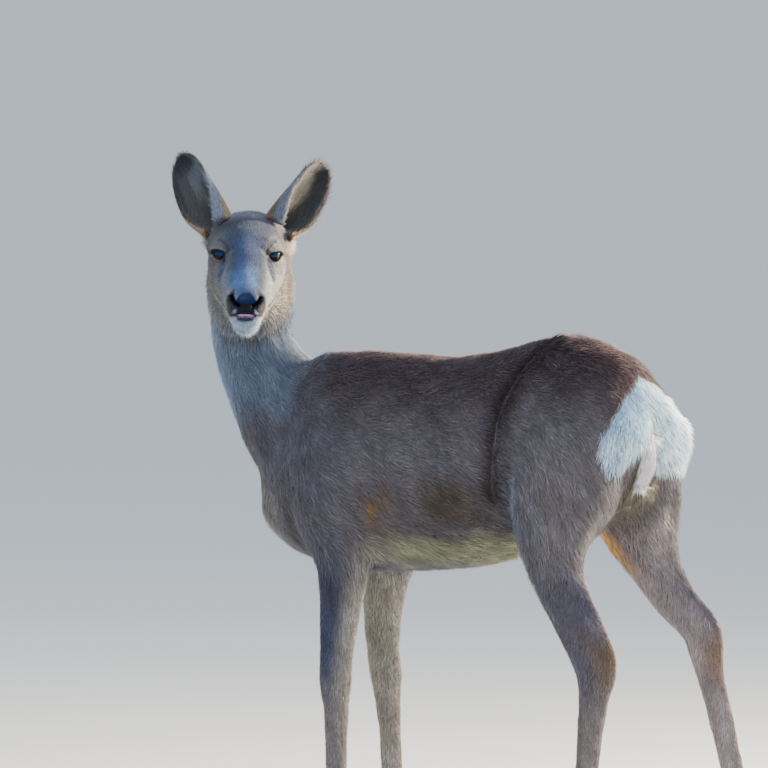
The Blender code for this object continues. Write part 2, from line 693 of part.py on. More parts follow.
def leg_planes(name, joints, side):
    """The planes that a leg is parted off by, above its elbow or at the groin and flank."""
    half = name[:4]
    between = ((BETWEEN_LEGS[half] * side, 0, 0), (-side, 0, 0))
    if half == "hind":
        groin = ((GROIN[0] * side, 0, GROIN[1]), (-0.80 * side, 0, 0.60))
        return [groin, between, FLANK_CUT]
    behind, across = ELBOW_REACH
    back = joints["elbow"][1] + behind
    armpit = ((ARMPIT[0] * side, 0, BRISKET + ARMPIT[1]), (-0.90 * side, 0, 0.42))
    return [armpit, between, ((0, back, BRISKET), (0, 1, 0.25)),
            ((0, back - across, BRISKET), (0, -1, 0))]


def build():
    """The whole deer, node by node."""
    for old in list(bpy.data.objects):
        bpy.data.objects.remove(old)

    lofts = [loft_trunk(), loft_neck(), loft_head()]
    legs = {
        "foreleg_left": (FORELEG_NEAR, FORELEG, 1), "foreleg_right": (FORELEG_FAR, FORELEG, -1),
        "hindleg_left": (HINDLEG_NEAR, HINDLEG, 1),
        "hindleg_right": (HINDLEG_FAR, HINDLEG_STRETCHED, -1),
    }
    for name, (joints, girths, side) in legs.items():
        lofts.append(loft_leg(name + "_loft", joints, girths, side))
    body = fuse(lofts)
    shape_body(body)
    shape_head(body)
    fine_body = thin_out(copy_of(body, "fine_body"), HEAD_FACES)
    thin_out(body, BODY_FACES)

    nodes = {}
    throat_forward, throat_up, lean_forward, lean_down = HEAD_CUT
    throat = (head_point(throat_forward, 0.0, throat_up), UP * -lean_down - FORWARD * lean_forward)
    nodes["head"] = part_off(body, "head", [throat, CHIN_CUT, NAPE_CUT], fine_body)
    remove(fine_body)
    nodes["neck"] = part_off(body, "neck", [NECK_CUT])
    for name, (joints, girths, side) in legs.items():
        nodes[name] = keep_largest(part_off(body, name, leg_planes(name, joints, side)))
    keep_largest(body)
    body.name = "trunk"
    nodes["trunk"] = body

    nodes["nose"] = part_off(nodes["head"], "nose", [
        (head_point(NOSE_CUT[0], 0, 0), -FORWARD), (head_point(0, 0, NOSE_CUT[1]), -UP)])
    for word, side in (("left", 1), ("right", -1)):
        eye = make_eye("eye_" + word, side)
        clear_of(nodes["head"], eye)
        nodes["eye_" + word] = eye
        ear = make_ear("ear_" + word, side, EAR_LEAN[word])
        nodes["ear_" + word] = keep_largest(clear_of(ear, nodes["head"]))
    nodes["tail_tuft"] = keep_largest(clear_of(make_tush(), nodes["trunk"]))

    for name, (joints, girths, side) in legs.items():
        foot = name.replace("leg", "")
        for word, toe in (("outer", side), ("inner", -side)):
            hoof = make_hoof("hoof_" + foot + "_" + word, joints["coronet"], toe, side)
            clear_of(nodes[name], hoof)
            nodes[hoof.name] = hoof
            claw = make_dewclaw("dewclaw_" + foot + "_" + word, joints["fetlock"], toe, side)
            nodes[claw.name] = keep_largest(clear_of(claw, nodes[name]))

    stand_on_origin(list(nodes.values()))
    for name, thing in nodes.items():
        kind = next((k for k in COLOURS if name.startswith(k)), "leg")
        paint(thing, "hoof" if name.startswith("dewclaw") else kind)


build()
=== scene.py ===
"""The looks of a roe deer doe in winter coat, life size, looking round over its left side.

The hide, the coat, the eyes, ears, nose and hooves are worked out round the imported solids.
The deer faces -Y, its left is +X, +Z is up, metres, soles on z = 0.
"""

import bmesh
import bpy
import numpy as np
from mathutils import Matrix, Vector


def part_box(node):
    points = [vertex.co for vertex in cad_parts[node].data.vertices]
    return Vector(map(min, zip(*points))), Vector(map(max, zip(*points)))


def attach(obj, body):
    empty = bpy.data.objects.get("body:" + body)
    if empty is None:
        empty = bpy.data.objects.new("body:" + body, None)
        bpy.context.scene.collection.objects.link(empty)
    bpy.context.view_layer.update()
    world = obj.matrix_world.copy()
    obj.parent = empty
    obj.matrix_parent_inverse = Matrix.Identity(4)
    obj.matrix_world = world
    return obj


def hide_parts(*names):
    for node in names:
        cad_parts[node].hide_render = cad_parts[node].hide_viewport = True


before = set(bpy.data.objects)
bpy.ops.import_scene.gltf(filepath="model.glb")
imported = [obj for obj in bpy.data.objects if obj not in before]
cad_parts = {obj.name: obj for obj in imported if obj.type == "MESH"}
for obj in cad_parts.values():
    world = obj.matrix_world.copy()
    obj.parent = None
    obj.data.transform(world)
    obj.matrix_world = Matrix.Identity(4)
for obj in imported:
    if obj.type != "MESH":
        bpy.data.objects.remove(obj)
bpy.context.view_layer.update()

# ================================================================ the hide
# The skin of the deer from muzzle to coronets, one closed surface with no seam. It follows
# the solids, drawn in by the depth of the coat, and its mesh is finest round the eyes,
# nostrils and lips, where the lids, folds and lips are shaped in it.
FLESH = ["head", "nose", "neck", "trunk", "foreleg_left", "foreleg_right",
         "hindleg_left", "hindleg_right"]
TRUNK_FRONT = -0.3216           # the breast's place along Y in the body's own frame
HIDE_GRID = 0.0058              # spacing of the hide's mesh on trunk and legs
SEAM_SWELL = 0.0006             # closes the parting gaps between the solids


def solid_box(name):
    """Lower and upper corner of a solid, at rest in the scene's frame."""
    return [np.array(corner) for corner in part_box(name)]


trunk_low, trunk_high = solid_box("trunk")
SHIFT = np.array([-(trunk_low[0] + trunk_high[0]) / 2, TRUNK_FRONT - trunk_low[1], 0.0])


def unit(vectors):
    """The vectors at length 1."""
    return vectors / np.maximum(np.linalg.norm(vectors, axis=-1, keepdims=True), 1e-12)


def read_mesh(mesh):
    """Places and outward normals of a mesh's vertices."""
    places = np.empty(len(mesh.vertices) * 3)
    mesh.vertices.foreach_get("co", places)
    normals = np.empty(len(mesh.vertices) * 3)
    mesh.vertex_normals.foreach_get("vector", normals)
    return places.reshape(-1, 3), normals.reshape(-1, 3)


def move_mesh(mesh, places):
    """Puts a mesh's vertices at the places given."""
    mesh.vertices.foreach_set("co", places.ravel())
    mesh.update()


def welded_solids(names):
    """One mesh of the named solids, each welded, then swollen a little so that they overlap."""
    gathered = bmesh.new()
    for name in names:
        one = bmesh.new()
        one.from_mesh(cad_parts[name].data)
        bmesh.ops.remove_doubles(one, verts=one.verts, dist=1e-6)
        mesh = bpy.data.meshes.new(name + "_copy")
        one.to_mesh(mesh)
        one.free()
        places, normals = read_mesh(mesh)
        move_mesh(mesh, places + normals * SEAM_SWELL)
        gathered.from_mesh(mesh)
        bpy.data.meshes.remove(mesh)
    mesh = bpy.data.meshes.new("solids")
    gathered.to_mesh(mesh)
    gathered.free()
    return mesh


def one_skin(mesh, spacing):
    """The single closed surface round overlapping solids, on a grid of the given spacing."""
    thing = bpy.data.objects.new("grid", mesh)
    bpy.context.scene.collection.objects.link(thing)
    grid = thing.modifiers.new("grid", "REMESH")
    grid.mode = "VOXEL"
    grid.voxel_size = spacing
    bpy.context.view_layer.update()
    evaluated = thing.evaluated_get(bpy.context.evaluated_depsgraph_get())
    skin = bpy.data.meshes.new_from_object(evaluated)
    bpy.data.objects.remove(thing)
    return skin


def split_finer(mesh, wanted):
    """Halves the edges of every face whose corners all lie where `wanted` says."""
    shape = bmesh.new()
    shape.from_mesh(mesh)
    inside = wanted(np.array([v.co for v in shape.verts]))
    edges = [e for e in shape.edges if inside[e.verts[0].index] and inside[e.verts[1].index]]
    bmesh.ops.subdivide_edges(shape, edges=edges, cuts=1, use_grid_fill=True)
    shape.to_mesh(mesh)
    shape.free()


def soften(mesh, rounds, weight):
    """Moves each vertex towards the middle of its neighbours, as far as its weight says."""
    edges = np.empty(len(mesh.edges) * 2, np.int64)
    mesh.edges.foreach_get("vertices", edges)
    first, second = edges.reshape(-1, 2).T
    places, _ = read_mesh(mesh)
    count = np.bincount(np.concatenate([first, second]), minlength=len(places))[:, None]
    share = weight(places)[:, None]
    for _ in range(rounds):
        total = np.zeros_like(places)
        np.add.at(total, first, places[second])
        np.add.at(total, second, places[first])
        places += (total / np.maximum(count, 1) - places) * share
    move_mesh(mesh, places)


def ramp(low, high, value):
    """0 below low, 1 above high, and a smooth S between."""
    t = np.clip((value - low) / (high - low), 0.0, 1.0)
    return t * t * (3.0 - 2.0 * t)


def hump(middle, half, value):
    """1 at the middle, falling smoothly to 0 a half width to either side."""
    return np.clip(1.0 - ((value - middle) / half) ** 2, 0.0, 1.0) ** 2


def ripple(places, wave, seed):
    """Soft unevenness from -1 to 1: a mean of six sine waves in fixed seeded directions."""
    dice = np.random.default_rng(seed)
    total = np.zeros(len(places))
    for _ in range(6):
        direction = dice.normal(size=3)
        direction /= np.linalg.norm(direction)
        stretch = dice.uniform(0.6, 1.6)
        phase = dice.uniform(0.0, 2.0 * np.pi)
        total += np.sin(places @ direction * (2.0 * np.pi * stretch / wave) + phase)
    return total / 3.0


def mixed(base, other, weight):
    """The base drawn towards the other by a weight at each place."""
    return base + (other - base) * weight[:, None]


# the head's own frame: forward, to its left and up from the middle of the back of the skull
HEAD_AT = np.array([0.031, -0.3395, 0.832])
HEAD_TURN = 128.0               # degrees from straight ahead to the left
HEAD_BOW = 22.0                 # degrees below level
HEAD_ROLL = 2.0                 # degrees, its left side down
HEAD_FLOOR = 0.69               # height above the floor that all of the head is over
HEAD_FRONT = 0.24               # farther forward than the nose


def head_axes():
    """Forward, left and up directions of the turned, bowed and rolled head."""
    turn, bow, roll = np.radians([HEAD_TURN, HEAD_BOW, HEAD_ROLL])
    level = np.array([np.sin(turn), -np.cos(turn), 0.0])
    left = np.cross([0.0, 0.0, 1.0], level)
    forward = level * np.cos(bow) - np.array([0.0, 0.0, 1.0]) * np.sin(bow)
    up = np.cross(forward, left)
    rolled_left = left * np.cos(roll) - up * np.sin(roll)
    rolled_up = up * np.cos(roll) + left * np.sin(roll)
    return np.array([forward, rolled_left, rolled_up])


HEAD_AXES = head_axes()


def to_head(places):
    """Forward, aside and up coordinates of body places in the head's frame."""
    return (places - HEAD_AT) @ HEAD_AXES.T


def from_head(coordinates):
    """Body places of forward, aside and up coordinates in the head's frame."""
    return HEAD_AT + np.asarray(coordinates, float) @ HEAD_AXES


# the eyes, and the lids' opening on the ball
EYE_AT = np.array([0.0865, 0.0312, 0.0143])     # forward, aside, up in the head's frame
EYE_RADIUS = 0.0140
EYE_OUTWARD = 25.0              # degrees that the opening faces out from straight ahead
EYE_RAISED = 14.0               # degrees that it faces up
EYE_SLANT = -2.4                # degrees that its rear corner is raised
EYE_ROOM = 0.034                # how far the folds round the eye reach from its middle
LID_HALF_LENGTH = 33.0          # degrees of eyeball from the middle to a corner
LID_UPPER = 21.0                # degrees of eyeball up to the upper lid
LID_LOWER = 31.0                # degrees down to the lower lid
LID_THICK = 0.0013
SOCKET_DEPTH = 0.0035           # how far the hide goes in behind the ball's front


def eye_axes(side):
    """The way an eye looks, and its outward and upward directions, in the head's frame."""
    outward, raised, slant = np.radians([EYE_OUTWARD, EYE_RAISED, EYE_SLANT])
    look = np.array([np.cos(raised) * np.cos(outward), np.cos(raised) * np.sin(outward),
                     np.sin(raised)])
    aside = unit(np.array([-np.sin(outward), np.cos(outward), 0.0]))
    above = np.cross(look, aside)
    rear = aside * np.cos(slant) + above * np.sin(slant)
    top = above * np.cos(slant) - aside * np.sin(slant)
    return np.array([look, rear, top]) * [1, side, 1]


def lid_reach(turn):
    """Degrees from the middle of the eye to the lid's edge, in each direction round it.

    A blunt ellipse above and a pointed one below: (|cos|/a)^p + (|sin|/b)^p = 1.
    """
    across, rise = np.cos(turn), np.sin(turn)
    tall = np.where(rise > 0, LID_UPPER, LID_LOWER)
    power = np.where(rise > 0, 2.6, 1.8)
    spread = (np.abs(across) / LID_HALF_LENGTH) ** power + (np.abs(rise) / tall) ** power
    return spread ** (-1.0 / power)


def eye_measure(coordinates, side):
    """How far out of the eye's opening places lie (1 on the lid's edge), and where round it."""
    offset = coordinates - EYE_AT * [1, side, 1]
    reach = np.linalg.norm(offset, axis=1)
    look, rear, top = eye_axes(side)
    heading = offset / np.maximum(reach, 1e-9)[:, None]
    turn = np.arctan2(heading @ top, heading @ rear)
    from_middle = np.degrees(np.arccos(np.clip(heading @ look, -1.0, 1.0)))
    return from_middle / lid_reach(turn), turn, reach, heading


# lines on the face, each as (distance out from the midline, height), seen facing the nose
FACING = np.radians(24.5)       # how far above forward one looks from, to face the nose
UPPER_LIP = -0.1008
LOWER_LIP = -0.1066
NOSTRIL = np.array([(0.0098, -0.0900), (0.0138, -0.0880), (0.0172, -0.0845), (0.0182, -0.0800)])
BROW = np.array([(0.0349, -0.0080), (0.0298, -0.0104), (0.0253, -0.0150), (0.0234, -0.0202),
                 (0.0240, -0.0279), (0.0250, -0.0340)])     # fold over and before the eye
TEAR = np.array([(0.0262, -0.0300), (0.0272, -0.0381), (0.0308, -0.0483), (0.0338, -0.0570)])
JOWL_EDGE = np.array([(0.000, -0.1292), (0.0215, -0.1264), (0.0365, -0.1175), (0.0470, -0.0996),
                      (0.0500, -0.0740)])       # lower edge of the long hair behind the jaw
PAD_LEVELS = [-0.1010, -0.0960, -0.0900, -0.0842, -0.0778, -0.0746]
PAD_HALF = [0.0095, 0.0085, 0.0125, 0.0132, 0.0090, 0.0050]     # half width of the nose pad

LIP_SEAM = -0.0250              # level of the seam on the muzzle's sides, in the head's frame
LIP_GAP = 0.0004                # half the gap between the lips where they are closed
MOUTH_BACK = 0.148              # how far forward the corner of the mouth lies
NOSTRILS_FROM = 0.178           # how far forward the nostrils and the dark of the lips begin


def seen_height(coordinates):
    """Height of places as it looks to someone who faces the nose."""
    return coordinates[:, 2] * np.cos(FACING) - coordinates[:, 0] * np.sin(FACING)


def face_plane(coordinates, side):
    """Distance out from the midline on one side, and height, as seen facing the nose."""
    return np.column_stack([coordinates[:, 1] * side, seen_height(coordinates)])


def line_distance(seen, line):
    """Distance of places on a plane to a line through a few points."""
    nearest = np.full(len(seen), 1.0)
    for start, end in zip(line[:-1], line[1:]):
        run = end - start
        t = np.clip(((seen - start) @ run) / (run @ run), 0.0, 1.0)
        nearest = np.minimum(nearest, np.linalg.norm(seen - start - t[:, None] * run, axis=1))
    return nearest


def nostril_distance(coordinates, side):
    """Distance, seen from the front, to the comma of a nostril."""
    return line_distance(face_plane(coordinates, side), NOSTRIL)


def jowl_depth(coordinates):
    """How far inside the edge of the long hair behind the jaw places lie, seen so; else -1."""
    f, s, u = coordinates.T
    above = seen_height(coordinates) - np.interp(np.abs(s), *JOWL_EDGE.T)
    inside = np.minimum(0.8 * above, 0.0505 - np.abs(s))
    near = f * np.cos(FACING) + u * np.sin(FACING)
    inside = inside - 0.012 * ramp(0.016, -0.016, near)
    return np.where((near > -0.030) & (u < -0.030) & (f < 0.160), inside, -1.0)


def shape_lids(coordinates):
    """Lids that hug the eyeball, a socket behind them, and the folds round them."""
    lid = EYE_RADIUS + LID_THICK
    for side in (1, -1):
        out, turn, reach, heading = eye_measure(coordinates, side)
        wanted = lid + (np.maximum(reach, lid) - lid) * ramp(1.12, 2.20, out)
        wanted += 0.0013 * hump(1.24, 0.24, out) * ramp(-0.1, 0.4, np.sin(turn))
        wanted -= 0.0008 * (hump(1.42, 0.16, out) * ramp(0.3, 0.8, -np.sin(turn)))
        wanted -= 0.0022 * hump(0.0, 0.0030, line_distance(face_plane(coordinates, side), BROW))
        wanted = np.maximum(wanted, EYE_RADIUS + 0.0009)
        wanted += (EYE_RADIUS - SOCKET_DEPTH - wanted) * ramp(1.01, 0.93, out)
        fade = ramp(EYE_ROOM, EYE_ROOM - 0.007, reach) * (reach < EYE_ROOM)
        coordinates += heading * ((wanted - reach) * fade)[:, None]
    return coordinates


def nose_mask(coordinates):
    """1 on the naked nose: a broad pad between the nostrils that narrows down to the lip."""
    f, s, _ = coordinates.T
    seen = seen_height(coordinates)
    half = np.interp(seen, PAD_LEVELS, PAD_HALF)
    pad = ramp(0.0006, -0.0006, np.abs(s) - half) * ramp(-0.0742, -0.0754, seen)
    pad *= ramp(-0.1012, -0.0998, seen) * (f > 0.183)
    for side in (1, -1):
        wing = ramp(0.0042, 0.0034, nostril_distance(coordinates, side)) * (f > NOSTRILS_FROM)
        pad = np.maximum(pad, wing)
    return pad


def mouth_offset(coordinates):
    """Height above the line between the lips, and the half gap that they leave there.

    The lips stand a little apart in front and close within half the muzzle's width; along
    the sides the seam runs back and down to the corner of the mouth."""
    f, s, u = coordinates.T
    front = ramp(0.180, 0.196, f)
    middle = (UPPER_LIP + LOWER_LIP) / 2 + 0.0008 * (1 - (s / 0.012) ** 2).clip(0, 1)
    above_front = (seen_height(coordinates) - middle) / np.cos(FACING)
    above_side = u - (LIP_SEAM - 0.0050 * ramp(0.190, 0.150, f))
    half = (UPPER_LIP - LOWER_LIP) / 2 / np.cos(FACING)
    gap = LIP_GAP + (half - LIP_GAP) * ramp(0.0125, 0.0095, np.abs(s)) * front
    return above_side + (above_front - above_side) * front, gap


def shape_nostrils(coordinates, f, s):
    """Pits with rolled outer wings, the pad raised between them and the groove below it."""
    seen = seen_height(coordinates)
    pad = nose_mask(coordinates)
    groove = hump(0.0, 0.0013, s) * ramp(-0.0874, -0.0910, seen) * ramp(-0.100, -0.098, seen)
    for side in (1, -1):
        near = nostril_distance(coordinates, side)
        pit = ramp(0.0031, 0.0008, near) * (f > NOSTRILS_FROM)
        wing = hump(0.0052, 0.0030, near) * (f > NOSTRILS_FROM) * ramp(0.0, 0.004, s * side - 0.010)
        coordinates[:, 0] -= 0.0085 * pit - 0.0010 * wing
        coordinates[:, 1] -= side * (0.0030 * pit - 0.0012 * wing)
    coordinates[:, 0] += 0.0008 * pad * ramp(0.196, 0.202, f)
    coordinates[:, 0] -= 0.0010 * groove * (f > 0.19)


def shape_muzzle(coordinates):
    """Nostrils, the gap between the lips, the tongue in it and the lips' rolled edges."""
    f, s, _ = coordinates.T.copy()
    out = np.sign(s)
    above, gap = mouth_offset(coordinates)
    shape_nostrils(coordinates, f, s)
    mouth = (f > MOUTH_BACK) * ramp(gap + 0.0010, gap, np.abs(above))
    front = ramp(0.182, 0.196, f)
    coordinates[:, 0] -= 0.0050 * mouth * front
    coordinates[:, 1] -= out * 0.0018 * mouth * (1.0 - front)
    tongue = hump(-0.0010, 0.0030, above) * ramp(0.0105, 0.0080, np.abs(s)) * (f > 0.19)
    coordinates[:, 0] += 0.0022 * tongue
    rolled = hump(0.0, 0.0026, np.abs(above) - gap - 0.0020) * (f > 0.160)
    coordinates[:, 0] += 0.0007 * rolled * front
    coordinates[:, 1] += out * 0.0005 * rolled * (1.0 - front)
    return coordinates


def shape_cheeks(coordinates):
    """The jaw's edge, the cheek muscle, the bony ridge below the eye and the tear fold."""
    f, s, u = coordinates.T.copy()
    out = np.sign(s)
    ridge = hump(0.0, 0.010, u + 0.004 + 0.20 * (f - 0.10)) * hump(0.115, 0.045, f)
    coordinates[:, 1] += out * 0.0014 * ridge * ramp(0.012, 0.03, np.abs(s))
    below = hump(0.0, 0.009, u + 0.020) * hump(0.125, 0.035, f)
    coordinates[:, 1] -= out * 0.0012 * below * ramp(0.012, 0.03, np.abs(s))
    for side in (1, -1):
        tear = hump(0.0, 0.0034, line_distance(face_plane(coordinates, side), TEAR))
        coordinates[:, 1] -= side * 0.0016 * tear * (f > 0.08)
        coordinates[:, 0] -= 0.0008 * tear * (f > 0.08)
    return coordinates


# the fold of the coat along the haunch's front edge, as (height, place along the body)
HAUNCH_FOLD = np.array([(0.490, 0.092), (0.532, 0.093), (0.583, 0.1015), (0.641, 0.114),
                        (0.679, 0.130), (0.713, 0.157)])
CORONET = 0.017                 # how low the pasterns reach into the hooves
PASTERN_TOP = 0.090


def haunch_fold(places):
    """Signed distance behind the fold, which curves down from the croup; 1 beyond its ends."""
    x, y, z = places.T
    away = y - np.interp(z, *HAUNCH_FOLD.T)
    beyond = (z < 0.490) | (np.abs(x) < 0.012)
    return np.where(beyond, 1.0, away + 0.02 * ramp(0.035, 0.012, np.abs(x)))


def shape_haunch(places, normals):
    """The long fold of the coat where the haunch lies over the flank."""
    away = haunch_fold(places)
    push = -0.0048 * hump(0.0, 0.013, away) + 0.0030 * hump(0.019, 0.022, away)
    return places + normals * (push * ramp(0.490, 0.530, places[:, 2]))[:, None]


def shape_hollows(places):
    """A deeper hollow below the tail; fuller before the breast and where neck meets withers."""
    x, y, z = places.T
    hollow = hump(0.0, 0.026, x) * ramp(0.630, 0.575, z) * ramp(0.47, 0.52, z) * (y > 0.24)
    places[:, 1] -= 0.009 * hollow
    throat = hump(0.548, 0.050, z) * ramp(-0.265, -0.300, y)
    places[:, 1] -= 0.0055 * throat
    places[:, 0] += 0.0030 * throat
    nape = hump(-0.274, 0.034, y) * ramp(0.645, 0.668, z) * hump(0.0, 0.07, x)
    places[:, 2] += 0.0060 * nape
    jowl = ramp(0.0, 0.005, jowl_depth(to_head(places)))
    places += HEAD_AXES[0] * (0.0048 * jowl)[:, None]
    return places


def reach_hooves(places):
    """Each pastern drawn down and forward into the top of its hooves."""
    x, y, z = places.T.copy()
    for left in (True, False):
        for hind in (True, False):
            leg = ((x > 0) == left) & ((y > 0) == hind) & (z < PASTERN_TOP)
            lowest = z[leg].min()
            drop = (lowest - CORONET) * ramp(PASTERN_TOP, lowest + 0.004, z[leg])
            places[leg] -= np.outer(drop, [0.0, 0.25, 1.0])
    return places


def coat_depth(places):
    """Depth of the coat over the skin: deepest on rump and belly, least on face and feet."""
    _, y, z = places.T
    f, s, u = to_head(places).T
    depth = 0.0056 + 0.0012 * hump(0.0, 0.09, z - 0.45) * (np.abs(y) < 0.25)
    depth += 0.0050 * ramp(0.262, 0.292, y) * ramp(0.50, 0.55, z)
    depth += (0.0021 - depth) * ramp(0.44, 0.30, z)
    depth -= 0.0030 * ramp(0.30, 0.22, z)
    head = ramp(-0.01, 0.03, f) * (u > -0.09) * (np.abs(s) < 0.075) * (z > 0.68)
    on_skull = 0.0032 + (0.0010 - 0.0032) * ramp(0.06, 0.15, f)
    depth += (on_skull - depth) * head
    return depth


def on_breast(places):
    """Where the neck runs out over the point of the shoulder and the breast, in one sweep."""
    _, y, z = places.T
    return hump(-0.290, 0.065, y) * hump(0.565, 0.085, z)


def on_head(places):
    """Where the finer mesh of the head begins."""
    f, s, u = to_head(places + SHIFT).T
    return (f > 0.0) & (np.abs(s) < 0.062) & (u > -0.115) & (f < 0.23)


def on_face(places):
    """Where the fine mesh of the face lies."""
    return on_head(places) & (to_head(places + SHIFT)[:, 0] > 0.055)


def on_eyes_and_muzzle(places):
    """Where the finest mesh lies: round the eyes, and from the nostrils to the chin."""
    coordinates = to_head(places + SHIFT)
    finest = coordinates[:, 0] > 0.176
    for side in (1, -1):
        finest |= np.linalg.norm(coordinates - EYE_AT * [1, side, 1], axis=1) < 0.026
    return on_face(places) & finest


hide_mesh = one_skin(welded_solids(FLESH + ["eye_left", "eye_right"]), HIDE_GRID)
soften(hide_mesh, 4, lambda places: np.full(len(places), 0.5))
soften(hide_mesh, 25, lambda places: 0.5 * on_breast(places + SHIFT))
for zone in (on_head, on_face, on_eyes_and_muzzle):
    split_finer(hide_mesh, zone)
    soften(hide_mesh, 3, lambda places: np.where(zone(places), 0.5, 0.0))

hide_places, hide_normals = read_mesh(hide_mesh)
hide_places = hide_places + SHIFT
hide_places -= hide_normals * coat_depth(hide_places)[:, None]
hide_places = reach_hooves(shape_hollows(shape_haunch(hide_places, hide_normals)))
coordinates = to_head(hide_places)
face = (coordinates[:, 0] > 0.03) & (coordinates[:, 2] > -0.075) & (hide_places[:, 2] > 0.70)
face &= (coordinates[:, 0] < 0.23) & (np.abs(coordinates[:, 1]) < 0.07)
sculpted = shape_muzzle(shape_cheeks(shape_lids(coordinates[face])))
hide_places[face] = from_head(sculpted)
move_mesh(hide_mesh, hide_places - SHIFT)

# markings of the coat, as albedos; painted sky light and painted shade are in some of them, as
# noted below
COAT = {
    "flank": (0.150, 0.131, 0.146), "back": (0.060, 0.037, 0.038),
    "rump": (0.056, 0.034, 0.040), "haunch": (0.153, 0.138, 0.150),
    # neck and throat: a grey-brown neck and a pale throat patch with painted blue sky light
    "shoulder": (0.118, 0.110, 0.130), "neck": (0.156, 0.205, 0.285),
    "nape": (0.120, 0.110, 0.115), "throat": (0.330, 0.500, 0.740),
    "belly": (0.305, 0.315, 0.200), "low_flank": (0.086, 0.066, 0.046),
    "elbow": (0.200, 0.130, 0.060), "breast": (0.205, 0.196, 0.196),
    # patch: the white rump patch with painted blue sky light
    "patch": (0.540, 0.740, 0.970), "rust": (0.260, 0.095, 0.030),
    # fold: painted shade in the haunch's fold; leg_front: grey-brown with painted blue sky light
    "fold": (0.018, 0.009, 0.006), "leg_front": (0.048, 0.056, 0.100),
    "leg_inside": (0.330, 0.305, 0.255), "hind_inside": (0.275, 0.230, 0.245),
    "groin": (0.520, 0.300, 0.100), "cleft": (0.100, 0.088, 0.062),
    "shank": (0.190, 0.170, 0.165), "hock": (0.150, 0.088, 0.044),
    # forehead, bridge and low_bridge: the face's dark grey with painted blue sky light
    "forehead": (0.014, 0.026, 0.060), "bridge": (0.018, 0.054, 0.160),
    "low_bridge": (0.060, 0.155, 0.350), "cheek": (0.210, 0.208, 0.224),
    "jaw": (0.215, 0.188, 0.132), "temple": (0.112, 0.096, 0.094),
    "lid": (0.120, 0.100, 0.095), "muzzle": (0.006, 0.006, 0.010),
    # chin: white hair with painted blue sky light
    "chin": (0.260, 0.390, 0.540), "nose": (0.002, 0.003, 0.006),
    # crease: painted shade in the fold above and before the eye, and the lids' dark edge; tear:
    # painted shade with painted blue sky light in the tear hollow
    "crease": (0.016, 0.012, 0.015), "tear": (0.012, 0.026, 0.062),
    # mouth: painted shade in the gap between the lips; tongue: pink with painted blue sky light
    "mouth": (0.010, 0.007, 0.007), "tongue": (0.520, 0.280, 0.620),
    "jowl": (0.150, 0.148, 0.142), "jowl_fringe": (0.185, 0.150, 0.090),
    # first: a painted shadow below the edge of the jowl's long hair; pad: a painted blue sky
    # reflection on top of the nose pad
    "jowl_shadow": (0.045, 0.034, 0.024), "pad": (0.001, 0.007, 0.034),
    # thigh: grey-brown with painted blue sky light
    "thigh": (0.134, 0.163, 0.225), "gaskin": (0.092, 0.086, 0.118),
    "crown": (0.225, 0.200, 0.245),
    "ear_hair": (0.640, 0.540, 0.380),
}


def paint(colours, layers):
    """Lays the named markings over the colours in turn, each by its weight at each place."""
    for name, weight in layers:
        colours = mixed(colours, np.array(COAT[name]), np.clip(weight, 0, 1))
    return colours


def over_neck(y, z):
    """1 on the neck, fading out over a slanting line before the shoulders."""
    return ramp(-0.235, -0.300, y + 0.25 * (z - 0.66)) * ramp(0.585, 0.64, z)


def body_markings(places, normals):
    """Colours of trunk and neck, from height, place along the body and side."""
    wander = 0.006 * ripple(places, 0.060, 11) + 0.003 * ripple(places, 0.022, 12)
    x, y, z = (places + wander[:, None]).T
    flank_side = ramp(0.0, 0.5, normals[:, 0] ** 2)
    dark = hump(0.0, 0.055, z - 0.505) * hump(0.0, 0.10, y - 0.030) * flank_side
    elbow = hump(0.0, 0.060, z - 0.490) * hump(0.0, 0.050, y + 0.090)
    belly = ramp(0.463, 0.440, z - 0.10 * np.clip(y, 0, 0.2)) * ramp(-0.14, -0.06, y)
    underside = ramp(0.065, 0.045, np.abs(x))
    belly *= ramp(0.40, 0.43, z) * (ramp(0.124, 0.108, y) * (1 - underside)
                                    + ramp(0.23, 0.13, y) * underside)
    throat = hump(0.0, 0.062, z - 0.640) * ramp(0.25, 0.95, -normals[:, 1])
    throat *= ramp(-0.285, -0.310, y)
    flank = np.tile(np.array(COAT["flank"]), (len(places), 1))
    return paint(flank, [
        ("shoulder", ramp(-0.09, -0.19, y + 0.15 * (z - 0.55))),
        ("haunch", ramp(0.105, 0.150, y) * ramp(0.66, 0.58, z)),
        # painted sky light in the thigh's blue
        ("thigh", 0.8 * hump(0.145, 0.07, y) * hump(0.470, 0.09, z)),
        ("back", 0.92 * ramp(0.550, 0.665, z) * ramp(-0.27, -0.17, y)),
        ("haunch", 0.7 * ramp(0.120, 0.150, y) * ramp(0.690, 0.640, z)),
        ("rump", ramp(0.590, 0.695, z) * ramp(0.10, 0.17, y)),
        ("low_flank", 0.9 * dark),
        ("elbow", elbow * (0.55 + 0.45 * ripple(places, 0.030, 13))),
        ("belly", 0.95 * belly),
        ("breast", ramp(-0.24, -0.30, y) * ramp(0.56, 0.50, z)),
        # painted sky light: the blue of neck and throat lies over a grey-brown neck and a pale
        # throat patch
        ("neck", over_neck(y, z)),
        ("throat", 0.75 * throat),
    ])


